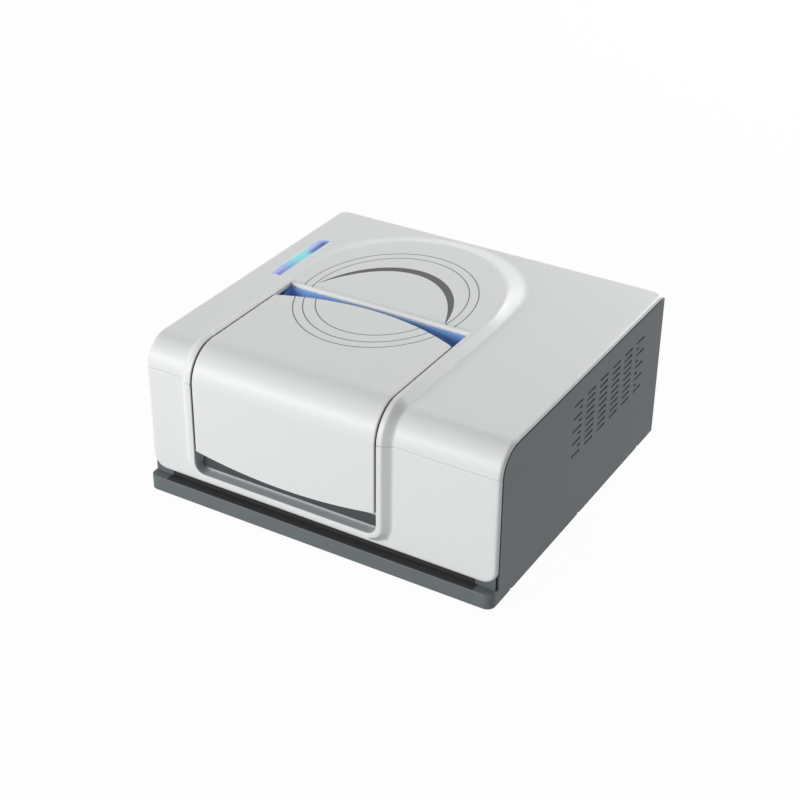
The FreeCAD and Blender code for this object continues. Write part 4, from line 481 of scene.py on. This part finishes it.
FRONT_Y = -0.2015
FRONT_LOW, FRONT_CORNER = box_of("front_panel")[0][2], 0.018
SILL, SILL_CORNER = 0.0484, 0.013
FLANK_LOW, FLANK_CORNER = FRONT_LOW + 0.0042, 0.0262
CREST_LOW, CREST_CORNER = SILL - 0.0058, 0.0188
OPENING_WALL = 0.00148
LEG_POINTS, TURN_POINTS, BASE_POINTS = 59, 15, 95


def door_distance(x, z, half, low, corner):
    """Distance outside an upright doorway with rounded lower corners: from a box drawn in by
    the corner's radius, less that radius."""
    across = np.abs(x) - (half - corner)
    down = (low + corner) - z
    outside = np.hypot(np.maximum(across, 0), np.maximum(down, 0))
    inside = np.minimum(np.maximum(across, down), 0)
    return outside + inside - corner


def doorway_line(centre, half, low, corner):
    """Points round a U from its upper left end at the seam to its upper right end, with
    the same count on each leg, corner and base whatever the size."""
    turn = np.linspace(0, np.pi / 2, TURN_POINTS)
    leg = np.linspace(SEAM_Z, low + corner, LEG_POINTS + 1)[:-1]
    leg_x, base_z = np.full(LEG_POINTS, half), np.full(BASE_POINTS, low)
    corner_x, corner_z = half - corner * (1 - np.cos(turn)), low + corner * (1 - np.sin(turn))
    base = np.linspace(-1, 1, BASE_POINTS + 2)[1:-1] * (half - corner)
    x = np.concatenate([-leg_x, -corner_x, base, corner_x[::-1], leg_x])
    z = np.concatenate([leg, corner_z, base_z, corner_z[::-1], leg[::-1]])
    return np.stack([centre + x, z])


def opening_line(grow):
    """The opening's U outline, grown outwards."""
    return doorway_line(LID_X, OPEN_HALF + grow, SILL - grow, SILL_CORNER + grow)


def panel_line(inset):
    """The panel's own U outline, drawn in by an inset."""
    return doorway_line(0, HALF - inset, FRONT_LOW + inset, FRONT_CORNER - inset)


def front_surface():
    """The front's outer face in rows between two U outlines: out from the opening's wall,
    round its rim, straight to the panel's own outline over the collar's ramp, and back
    round the outer edge through a quarter circle and a band."""
    crest_y = FRONT_Y - RELIEF
    rows = [(opening_line(0), crest_y + OPENING_WALL)]
    for angle in QUARTER_TURN[::-1]:
        rows.append((opening_line(RIM * (1 - np.sin(angle))), crest_y + RIM * (1 - math.cos(angle))))
    inner, outer = opening_line(RIM), panel_line(EDGE)
    for share in np.concatenate([np.linspace(0, 0.4, 64)[1:-1], np.linspace(0.4, 1, 24)]):
        x, z = inner + (outer - inner) * share
        rise = collar_rise(door_distance(x - LID_X, z, FLANK_HALF, FLANK_LOW, FLANK_CORNER),
                           door_distance(x - LID_X, z, CREST_HALF, CREST_LOW, CREST_CORNER))
        rows.append(((x, z), FRONT_Y - rise))
    for angle in QUARTER_TURN[1:]:
        rows.append((panel_line(EDGE * (1 - math.sin(angle))), FRONT_Y + EDGE * (1 - math.cos(angle))))
    rows.append((rows[-1][0], FRONT_Y + EDGE + BAND))
    points = np.array([np.stack([x, np.broadcast_to(y, x.shape), z], axis=-1) for (x, z), y in rows])
    return points.reshape(-1, 3), grid_faces(*points.shape[:2])[:, ::-1]


FRONT_WHITE = white_moulding("white_front")
front = mesh_piece("moulded_front", *front_surface(), FRONT_WHITE, "casing", "white_shell")
walled(front)
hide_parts("front_panel")


# Seals and closures: near-black rubber strips fill the gaps beside the side panels and
# beside the lid as painted shade of those gaps, another black strip lies on the tray's lip
# as painted shade under the front, folded steel corners close the casing behind the
# front, and moulded clips sit in the notches under the side panels.

X_AXIS, Y_AXIS, Z_AXIS = np.eye(3)


def swept(origins, across, upward, outline):
    """A closed outline carried along a path: each point is the path's own point plus u
    times its across vector plus v times its upward vector, and both ends are closed."""
    u, v = np.asarray(outline).T
    points = (origins[:, None] + across[:, None] * u[None, :, None] + upward[:, None] * v[None, :, None])
    count, ring = points.shape[:2]
    faces = [list(face) for face in grid_faces(count, ring, closed=True)]
    faces.append(list(range(ring)))
    faces.append([(count - 1) * ring + n for n in range(ring)])
    return points.reshape(-1, 3), faces


def rounded_outline(u0, u1, v0, v1, radius, steps=4):
    """Points round a rectangle with round corners."""
    turn = np.linspace(0, np.pi / 2, steps + 1)
    corners = []
    for n, (cu, cv) in enumerate(((u1 - radius, v1 - radius), (u0 + radius, v1 - radius),
                                  (u0 + radius, v0 + radius), (u1 - radius, v0 + radius))):
        angle = turn + n * np.pi / 2
        corners.append(np.stack([cu + radius * np.cos(angle), cv + radius * np.sin(angle)], axis=-1))
    return np.concatenate(corners)


def joined(parts):
    """Several closed shapes as one set of points and faces."""
    points, faces, shift = [], [], 0
    for part_points, part_faces in parts:
        points.append(part_points)
        faces += [[index + shift for index in face] for face in part_faces]
        shift += len(part_points)
    return np.concatenate(points), faces


def casing_strips(t, places, section):
    """A strip's section carried along the casing's path, over the lengths t, at each of
    the places across it."""
    y, z, ny, nz = along_casing(t)
    up = np.stack([np.zeros_like(y), ny, nz], axis=-1)
    across = np.tile(X_AXIS, (len(t), 1))
    return joined([swept(np.stack([np.full_like(y, x), y, z], axis=-1), across, up, section) for x in places])


def plate(u_vector, v_vector, start, end, outline):
    """A flat shape of the given outline, carried straight from one point to another."""
    return swept(np.linspace(start, end, 2), np.tile(u_vector, (2, 1)), np.tile(v_vector, (2, 1)), outline)


def trim(name, shape, material, slot):
    """A closed piece of trim with flat faces, fixed to the casing."""
    mesh_piece(name, *shape, material, "casing", slot, smooth=False, outward=True)


# The strips' near-black is painted shade: it darkens the gaps beside the side panels.
SEAL_SHADE = finish("gap_painted_shade", linear(14, 14, 15), roughness=0.75, grain=0.0005, depth=0.00003)
SIDE_SEAL_X, SIDE_SEAL_REAR, SIDE_SEAL_FALL = 0.2232, 0.006, 0.1125
side_seal_run = spaced((SIDE_SEAL_REAR, 0), (LEVEL, 0.02), (LEVEL + QUARTER, 0.003),
                       (LEVEL + QUARTER + SIDE_SEAL_FALL, 0.02))
side_seal_section = rounded_outline(-0.0008, 0.0011, -0.00646, -0.00466, 0.0002, steps=2)
side_gap_shade = casing_strips(side_seal_run, (-SIDE_SEAL_X, SIDE_SEAL_X), side_seal_section)
trim("side_gap_shade", side_gap_shade, SEAL_SHADE, "rubber")

# These strips are painted shade of the gap round the lid.
LID_SEAL_HALF, LID_SEAL_REAR, LID_SEAL_FALL = 0.11912, 0.047, 0.082
lid_seal_run = spaced((REAR + LID_SEAL_REAR, 0), (LEVEL, 0.02), (LEVEL + QUARTER, 0.003),
                      (LEVEL + QUARTER + LID_SEAL_FALL, 0.02))
lid_seal_section = rounded_outline(-0.0008, 0.0008, RELIEF - 0.0032, RELIEF - 0.0013, 0.0003, steps=2)
lid_seal_places = (LID_X - LID_SEAL_HALF, LID_X + LID_SEAL_HALF)
lid_gap_shade = casing_strips(lid_seal_run, lid_seal_places, lid_seal_section)
trim("lid_gap_shade", lid_gap_shade, SEAL_SHADE, "rubber")

# A black rubber strip on the tray's lip, under the front's lower edge: painted shade of the recess there.
LIP_HALF = 0.2005
LIP_SECTION = [(-0.2099, 0.02402), (-0.1971, 0.02402), (-0.1971, 0.0245), (-0.19655, 0.0245),
               (-0.19655, 0.0345), (-0.1974, 0.0345), (-0.1974, 0.0254), (-0.1977, 0.02485),
               (-0.2095, 0.02485), (-0.2099, 0.0245)]
trim("lip_shade_strip", plate(Y_AXIS, Z_AXIS, (-LIP_HALF, 0, 0), (LIP_HALF, 0, 0), LIP_SECTION), RUBBER, "rubber")

CORNER_INNER, CORNER_OUTER = 0.1985, 0.2224
CORNER_FRONT, CORNER_BACK = -0.1983, -0.1967
CORNER_LOW, CORNER_HIGH, CORNER_ROUND = 0.0241, 0.058, 0.001
corner_outlines = [rounded_outline(*sorted((side * CORNER_INNER, side * CORNER_OUTER)), CORNER_LOW,
                                   CORNER_HIGH, CORNER_ROUND) for side in (-1, 1)]
corner_plates = joined([plate(X_AXIS, Z_AXIS, (0, CORNER_FRONT, 0), (0, CORNER_BACK, 0), outline)
                        for outline in corner_outlines])
trim("corner_closures", corner_plates, COAT, "grey_steel")

NOTCHES = (-0.166, 0.0, 0.166)
NOTCH_Z, NOTCH_RADIUS, CLIP_HOLE, CLIP_RADIUS = 0.004, 0.0059, 0.0024, 0.0023
CLOSURE_INNER, CLOSURE_OUTER = 0.2228, 0.22495
CLIP_INNER, CLIP_OUTER = 0.2216, 0.2245
TRAY_LOW, NOTCH_CLEAR = box_of("base_chassis")[0][2], 0.0001


def notch_plates(radius_out, radius_in, x_inner, x_outer):
    """Half a disc over the tray's lower edge in each notch, less a smaller half disc."""
    low = math.asin((TRAY_LOW - NOTCH_Z + NOTCH_CLEAR) / radius_out)
    outer = np.linspace(low, math.pi - low, 25)
    ring = np.stack([radius_out * np.cos(outer), radius_out * np.sin(outer) + NOTCH_Z], axis=-1)
    if radius_in:
        inner = np.linspace(math.pi, 0, 13)
        height = TRAY_LOW + NOTCH_CLEAR + radius_in * np.sin(inner)
        ring = np.concatenate([ring, np.stack([radius_in * np.cos(inner), height], axis=-1)])
    return joined([plate(Y_AXIS, Z_AXIS, (side * x_inner, y, 0), (side * x_outer, y, 0), ring)
                   for y in NOTCHES for side in (-1, 1)])


closures = notch_plates(NOTCH_RADIUS, CLIP_HOLE, CLOSURE_INNER, CLOSURE_OUTER)
trim("notch_closures", closures, COAT, "grey_steel")
trim("notch_clips", notch_plates(CLIP_RADIUS, 0, CLIP_INNER, CLIP_OUTER), RUBBER, "rubber")


# Dust screen: fine black cloth stretched behind the vents in the right side panel, and
# bonded to the panel's inner face along its edges.

SCREEN = finish("black_cloth", linear(30, 31, 32), roughness=0.85, grain=0.0004, depth=0.0001)
SCREEN_INNER, SCREEN_OUTER = 0.2213, 0.222
screen_outline = rounded_outline(-0.04, 0.166, 0.09, 0.172, 0.004)
screen = plate(Y_AXIS, Z_AXIS, (SCREEN_INNER, 0, 0), (SCREEN_OUTER, 0, 0), screen_outline)
trim("dust_screen", screen, SCREEN, "black_plastic")


# Finger trough: a grey moulding let into the opening's foot, where fingers reach under the
# lid's lower edge. A dark pad on its back is painted shade of the lid over it.

GREY_PLASTIC = finish("grey_plastic", linear(182, 186, 189), roughness=0.5)
dress(GREY_PLASTIC, "finger_trough")
# The pad's dark grey is painted shade where the lid overhangs the trough's back.
GRIP_SHADE = finish("grip_painted_shade", linear(66, 69, 71), roughness=0.7, grain=0.0008, depth=0.00005)
GRIP_HALF, GRIP_FRONT, GRIP_BACK = 0.1172, -0.1974, -0.19655
shade_pad_outline = rounded_outline(-GRIP_HALF, GRIP_HALF, 0.0518, 0.0655, 0.0045)
shade_pad = plate(X_AXIS, Z_AXIS, (LID_X, GRIP_FRONT, 0), (LID_X, GRIP_BACK, 0), shade_pad_outline)
trim("finger_shade_pad", shade_pad, GRIP_SHADE, "grey_plastic")


# Lid: a white moulding of about 3 mm wall that lies flush with the collar, over the top and
# down the front in one sweep, with short side skirts. Its rear and lower edges are gently
# curved. A grey liner closes its inside and presses on the chamber's gasket.

LID_HALF = half_way(-lid_low, lid_high)[0]
LID_REAR, LID_LOW = lid_high[1], lid_low[2]
LID_REAR_SAG, LID_LOW_SAG = 0.0265, 0.011
LID_STANDS, LID_CLEAR = 0.008, 0.0001
LID_BEND = BEND + LID_STANDS
LID_EDGE, LID_SKIRT, LID_FINE = 0.0018, 0.008, 0.008
LID_SOFT_EDGE = 0.0006


def lid_surface():
    """The lid's outer face on a grid of width and share of the path, 0 to 1 over the top, to
    2 round the bend and to 3 down the face, between its rear edge and its lower edge, each
    an arc of given sag. Past its sides it turns down through a quarter circle into skirts."""
    inner = LID_HALF - LID_EDGE
    core = spaced((-inner, 0), (-inner + LID_FINE, 0.0015), (inner - LID_FINE, 0.005), (inner, 0.0015))
    turn = np.concatenate([np.linspace(0, np.pi / 2, 6)[1:], [np.pi / 2]])
    drop = np.array([0, 0, 0, 0, 0, LID_SKIRT])
    x, angle, sunk = turned_down(core, turn, drop)
    width = x + np.sign(x) * LID_EDGE * np.sin(angle)

    def sag(depth):
        radius = (LID_HALF ** 2 + depth ** 2) / (2 * depth)
        return radius - np.sqrt(radius ** 2 - width ** 2)

    level = LID_REAR - sag(LID_REAR_SAG) - BEND_Y
    fall = BEND_Z - LID_LOW - sag(LID_LOW_SAG)
    top, bend, face = np.linspace(0, 1, 40), np.linspace(0, 1, 33)[1:], np.linspace(0, 1, 30)[1:]
    share = np.concatenate([top, 1 + bend, 2 + face])[:, None]
    phi = np.clip(share - 1, 0, 1) * math.pi / 2
    reach = LID_BEND - LID_CLEAR - sunk - LID_EDGE * (1 - np.cos(angle))
    y = BEND_Y + level * (1 - np.clip(share, 0, 1)) - reach * np.sin(phi)
    z = BEND_Z + reach * np.cos(phi) - fall * np.clip(share - 2, 0, 1)
    points = np.stack([np.broadcast_to(LID_X + width, y.shape), y, z], axis=-1)
    return points.reshape(-1, 3), grid_faces(*points.shape[:2])[:, ::-1]


LID_WHITE = white_moulding("white_lid", (OUTER_RING, MIDDLE_RING, INNER_RING))
lid = mesh_piece("moulded_lid", *lid_surface(), LID_WHITE, "lid", "white_shell")
walled(lid, LID_SOFT_EDGE, segments=3)
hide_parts("lid_shell")
dress(GREY_PLASTIC, "lid_liner")


# Hinge: two cast aluminium arms under the lid turn on steel pins in two brackets, inside a
# blue moulded trough that takes the lid's rear edge as it swings.

# This blue is lighter than the moulding's own mid blue: painted light for the trough in the lid's shade.
BLUE_PAINTED_LIGHT = finish("blue_plastic", linear(142, 186, 250), roughness=0.4, grain=0.0005, depth=0.000006, drift=0.1)
ALUMINIUM = finish("bead_blasted_aluminium", linear(188, 190, 194), roughness=0.38, grain=0.0005,
                   metallic=1.0)
dress(BLUE_PAINTED_LIGHT, "hinge_trough")
dress(ALUMINIUM, "hinge_arms", "hinge_brackets")
dress(STEEL, "hinge_pins")


# Crescent inlay: a dark grey strip let into the plateau, bounded by two ellipses that meet
# in sharp tips. It stands a hair above the white with rounded edges.

CRESCENT_X, CRESCENT_Y, CRESCENT_FRONT = -0.0413, -0.06, -0.0035
CRESCENT_THINNEST = 0.00006
CRESCENT_TOP, CRESCENT_FALL = 0.20447, (0.2042, 0.20436, 0.20445)
OUTER_ELLIPSE = (0.0007, 0.0305, 0.091, 0.1256)
INNER_ELLIPSE = (-0.0007, -0.04, 0.1047, 0.184)


def reach_to_ellipse(cos, sin, centre_x, centre_y, a, b):
    """How far a ray from the origin runs to an ellipse: the larger root of the quadratic."""
    qa = (cos / a) ** 2 + (sin / b) ** 2
    qb = -2 * (cos * centre_x / a ** 2 + sin * centre_y / b ** 2)
    qc = (centre_x / a) ** 2 + (centre_y / b) ** 2 - 1
    return (-qb + np.sqrt(np.maximum(qb ** 2 - 4 * qa * qc, 0))) / (2 * qa)


def crescent_surface():
    """Between an outer and an inner ellipse that cross at the tips: for each direction a
    strip from the inner to the outer line, its height falling at both edges."""
    turn = np.linspace(0, math.pi, 480)
    cos, sin = np.cos(turn), np.sin(turn)
    outer = reach_to_ellipse(cos, sin, *OUTER_ELLIPSE)
    inner = reach_to_ellipse(cos, sin, *INNER_ELLIPSE)
    thick = outer - inner
    keep = (thick > CRESCENT_THINNEST) & (CRESCENT_Y + outer * sin > CRESCENT_FRONT)
    share = np.array([0, 0, 0.06, 0.2, 0.5, 0.8, 0.94, 1, 1])[:, None]
    height = np.array([*CRESCENT_FALL, *[CRESCENT_TOP] * 3, *CRESCENT_FALL[::-1]])[:, None]
    radius = (outer - thick * (1 - share))[:, keep]
    points = np.stack([CRESCENT_X + radius * cos[keep], CRESCENT_Y + radius * sin[keep],
                       np.broadcast_to(height, radius.shape)], axis=-1)
    return points.reshape(-1, 3), grid_faces(*points.shape[:2])[:, ::-1]


INLAY = finish("dark_inlay", linear(72, 74, 78), roughness=0.45, grain=0.0004, depth=0.000006)
inlay = mesh_piece("crescent_strip", *crescent_surface(), INLAY, "casing", "dark_inlay")
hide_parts("crescent_inlay")


# Light bar: a translucent lens with a frosted rim, lit from a small board below. It shades
# from lavender at its front through cyan towards its rear, and along its right side a deeper
# run, down to deep blue near the rear, is painted shade.

lens_low, lens_high = box_of("light_bar_lens")
BAR_X, BAR_Y = half_way(lens_low, lens_high)[:2]
BAR_HALF, BAR_REACH, BAR_CORNER = 0.0076, half_way(-lens_low, lens_high)[1], 0.0052
BAR_BLEND, BAR_FROSTED, FROST_FADE, FROST_SHIFT = 0.005, 0.0014, 0.0012, 0.0003
FROST_SHARE, UNLIT_SHARE, BAR_GLOW = 0.75, 0.55, 0.6
BAR_PROFILE = [(0.0, 0.1947), (0.0, 0.19664), (0.0003, 0.1968), (0.0012, 0.1969), (0.003, 0.197),
               (0.0076, 0.197)]


def bar_surface():
    """Rings of a rounded rectangle, each inset and set at a height by the profile, and
    shrunk to the middle line at the end."""
    turn = np.linspace(0, 2 * np.pi, 96, endpoint=False)
    rings = []
    for inset, height in BAR_PROFILE:
        radius = max(BAR_CORNER - inset, 0.00002)
        half, reach = max(BAR_HALF - inset - radius, 0), max(BAR_REACH - inset - radius, 0)
        rings.append(np.stack([BAR_X + np.sign(np.cos(turn)) * half + radius * np.cos(turn),
                               BAR_Y + np.sign(np.sin(turn)) * reach + radius * np.sin(turn),
                               np.full_like(turn, height)], axis=-1))
    return np.array(rings).reshape(-1, 3), grid_faces(len(rings), len(turn), closed=True)


def colour_ramp(tree, place, stops):
    """A run of colours along a value from 0 to 1, through stops of place and display colour."""
    ramp = shader_node(tree, "ShaderNodeValToRGB", {"Fac": place})
    while len(ramp.color_ramp.elements) < len(stops):
        ramp.color_ramp.elements.new(0.5)
    for element, (position, colour) in zip(ramp.color_ramp.elements, stops):
        element.position = position
        element.color = (*linear(*colour), 1.0)
    return ramp.outputs["Color"]


def lit_lens():
    """Glowing lens: one run of colours along its left side and a deeper one along its
    right, painted shade of the bar's shaded side, blended across the bar, with a pale frosted rim."""
    material = finish("lit_lens", linear(120, 170, 220), roughness=0.25, grain=0.0008, depth=0.000003)
    tree = material.node_tree
    shader = tree.nodes["Principled BSDF"]
    place = tree.nodes.new("ShaderNodeTexCoord").outputs["Object"]
    parts = shader_node(tree, "ShaderNodeSeparateXYZ", {"Vector": place}).outputs
    from_front = maths(tree, "SUBTRACT", parts["Y"], BAR_Y - BAR_REACH)
    along = maths(tree, "DIVIDE", from_front, 2 * BAR_REACH, clamp=True)
    left_run = colour_ramp(tree, along, [
        (0.0, (178, 176, 224)), (0.22, (150, 172, 222)), (0.42, (128, 214, 216)), (0.58, (134, 216, 222)),
        (0.72, (158, 190, 228)), (0.9, (160, 164, 216)), (1.0, (170, 196, 230))])
    # The right run is darker as painted shade on the bar's right side.
    shaded_right_run = colour_ramp(tree, along, [
        (0.0, (112, 112, 186)), (0.2, (104, 150, 210)), (0.4, (108, 206, 206)), (0.58, (120, 210, 216)),
        (0.68, (70, 104, 176)), (0.9, (40, 66, 142)), (1.0, (96, 176, 216))])
    from_middle = maths(tree, "SUBTRACT", parts["X"], BAR_X)
    across = maths(tree, "MULTIPLY_ADD", from_middle, 1 / BAR_BLEND, 0.5, clamp=True)
    core = colour_mix(tree, across, left_run, shaded_right_run)
    aside = maths(tree, "ABSOLUTE", from_middle)
    ahead = maths(tree, "SUBTRACT", maths(tree, "ABSOLUTE", maths(tree, "SUBTRACT", parts["Y"], BAR_Y)),
                  BAR_REACH - BAR_HALF)
    edge = maths(tree, "MAXIMUM", aside, ahead)
    frost_start = BAR_HALF - BAR_FROSTED - FROST_SHIFT
    pale = maths(tree, "MULTIPLY_ADD", edge, 1 / FROST_FADE, -frost_start / FROST_FADE, clamp=True)
    frosted = maths(tree, "MULTIPLY", pale, FROST_SHARE)
    shown = colour_mix(tree, frosted, core, (*linear(214, 226, 242), 1.0))
    dim = colour_mix(tree, UNLIT_SHARE, shown, (0, 0, 0, 1))
    tree.links.new(shown, shader.inputs["Emission Color"])
    tree.links.new(dim, shader.inputs["Base Color"])
    shader.inputs["Emission Strength"].default_value = BAR_GLOW
    return material


LENS = lit_lens()
lens = mesh_piece("light_bar_glass", *bar_surface(), LENS, "casing", "diffuser")
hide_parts("light_bar_lens")
BOARD = finish("green_board", linear(30, 92, 56), roughness=0.4, grain=0.002)
dress(BOARD, "light_bar_board")


# Sample chamber: an anodised aluminium tub with a round beam port in each side, windows
# behind them in square frames, and a stand whose slot takes the sample holder.

OPTIC = finish("clear_optic", linear(216, 226, 226), roughness=0.1, grain=0.002, depth=0.000001)
dress(ALUMINIUM, "sample_chamber", "window_rings", "sample_stand")
dress(OPTIC, "chamber_windows", "beamsplitter")
dress(STEEL, "sample_holder")


# Optics bench: a milled aluminium plate with the interferometer on it, whose mirrors are
# gold coated plates in block mounts.

GOLD_MIRROR = finish("coated_mirror", linear(240, 226, 190), roughness=0.1, grain=0.002, depth=0.000001,
                     metallic=1.0)
ELEMENT = finish("ceramic_element", linear(96, 78, 70), roughness=0.7)
BLACK = finish("black_plastic", linear(42, 43, 45), roughness=0.5, depth=0.00002)
dress(ALUMINIUM, "optics_bench", "source_housing", "source_heat_sink", "mirror_rail", "mirror_carriage",
      "collimating_mount", "beamsplitter_mount", "fixed_mirror_mount", "turning_mount", "focusing_mount",
      "reference_laser", "laser_clamps", "detector_module")
dress(GOLD_MIRROR, "collimating_mirror", "fixed_mirror", "turning_mirror", "focusing_mirror", "moving_mirror")
dress(ELEMENT, "source_element")
dress(STEEL, "guide_rods", "voice_coil_magnet")
dress(BLACK, "desiccant_cartridge")


# Electronics: the main board on posts, a cased supply, and at the rear the inlet, the
# rocker switch, two sockets and the fan behind its guard.

BRASS = finish("brass_pins", linear(206, 174, 108), roughness=0.3, metallic=1.0)
dress(BOARD, "main_board")
dress(ALUMINIUM, "board_posts", "power_supply")
dress(BLACK, "mains_inlet", "switch_housing", "switch_rocker", "fan_frame", "fan_rotor")
dress(BRASS, "inlet_blades")
dress(STEEL, "usb_socket", "network_socket", "fan_guard")


# Floor and backdrop: plain white paper, with a large soft lamp low at the front left and a
# second one behind. The paper shows nearly pure white to the camera and in reflections,
# and lights the object at the level of its own tone.

FLOOR_REACH, FLOOR_TONE, FLOOR_SHOWN_WHITE = 12.0, 0.6, 0.97
AMBIENT = 0.29


def seen_or_mirrored(tree):
    """1 for rays from the camera and for those seen in gloss or through glass, else 0."""
    path = tree.nodes.new("ShaderNodeLightPath").outputs
    mirrored = maths(tree, "MAXIMUM", path["Is Glossy Ray"], path["Is Transmission Ray"])
    return maths(tree, "MAXIMUM", path["Is Camera Ray"], mirrored)


def studio_floor():
    """A white floor that still takes the object's shadow; seen by camera or in a reflection
    it is nearly as bright as the backdrop."""
    material = bpy.data.materials.new("floor_paper")
    material.use_nodes = True
    tree = material.node_tree
    shader = tree.nodes["Principled BSDF"]
    shader.inputs["Base Color"].default_value = (FLOOR_TONE, FLOOR_TONE, FLOOR_TONE, 1)
    shader.inputs["Roughness"].default_value = 0.9
    share = maths(tree, "MULTIPLY", seen_or_mirrored(tree), FLOOR_SHOWN_WHITE)
    glow = shader_node(tree, "ShaderNodeEmission", {"Strength": 1.0})
    blend = shader_node(tree, "ShaderNodeMixShader", {0: share, 1: shader.outputs[0], 2: glow.outputs[0]})
    tree.links.new(blend.outputs[0], tree.nodes["Material Output"].inputs["Surface"])
    return material


floor_corners = [(x * FLOOR_REACH, y * FLOOR_REACH, 0) for x, y in ((-1, -1), (1, -1), (1, 1), (-1, 1))]
floor = mesh_piece("floor", floor_corners, [(0, 1, 2, 3)], studio_floor(), None, None, smooth=False)

world = bpy.data.worlds.new("studio")
world.use_nodes = True
backdrop = world.node_tree.nodes["Background"]
strength = maths(world.node_tree, "MULTIPLY_ADD", seen_or_mirrored(world.node_tree), 1 - AMBIENT, AMBIENT)
backdrop.inputs["Color"].default_value = (1, 1, 1, 1)
world.node_tree.links.new(strength, backdrop.inputs["Strength"])
bpy.context.scene.world = world


def area_light(name, place, target, size, power):
    """A rectangular soft lamp of a width and height, turned from its place to its target."""
    lamp = bpy.data.lights.new(name, "AREA")
    lamp.shape = "RECTANGLE"
    lamp.size, lamp.size_y = size
    lamp.energy = power
    holder = bpy.data.objects.new(name, lamp)
    bpy.context.scene.collection.objects.link(holder)
    holder.location = place
    aim = Vector(target) - Vector(place)
    holder.rotation_mode = "QUATERNION"
    holder.rotation_quaternion = aim.to_track_quat("-Z", "Y")


area_light("front_box", place=(-1.99, -3.44, 1.47), target=(0, 0, 0.1), size=(1.8, 1.6), power=121)
area_light("rear_box", place=(0.53, 3.0, 1.14), target=(0, 0, 0.15), size=(1.8, 0.9), power=92)


# Camera: a long lens at the front right of the object, looking down on its top, its front
# and its right side, as the photograph does. It leans over by about half a degree.

CAMERA_YAW, CAMERA_PITCH, CAMERA_ROLL = 0.5315216, 0.5392995, 0.0101039
CAMERA_PLACE = (0.83609, -1.44282, 1.08458)
FOCAL_LENGTH, SENSOR_WIDTH = 74.27, 36

forward = Vector((-math.sin(CAMERA_YAW) * math.cos(CAMERA_PITCH),
                  math.cos(CAMERA_YAW) * math.cos(CAMERA_PITCH), -math.sin(CAMERA_PITCH)))
level_right = Vector((math.cos(CAMERA_YAW), math.sin(CAMERA_YAW), 0))
level_up = level_right.cross(forward)
right = level_right * math.cos(CAMERA_ROLL) + level_up * math.sin(CAMERA_ROLL)
up = -level_right * math.sin(CAMERA_ROLL) + level_up * math.cos(CAMERA_ROLL)
camera = bpy.data.objects.new("camera", bpy.data.cameras.new("camera"))
bpy.context.scene.collection.objects.link(camera)
camera.data.sensor_width = SENSOR_WIDTH
camera.data.lens = FOCAL_LENGTH
camera.data.clip_end = 20
camera.matrix_world = Matrix.Translation(CAMERA_PLACE) @ Matrix((right, up, -forward)).transposed().to_4x4()
bpy.context.scene.camera = camera
bpy.context.scene.view_settings.view_transform = "Standard"
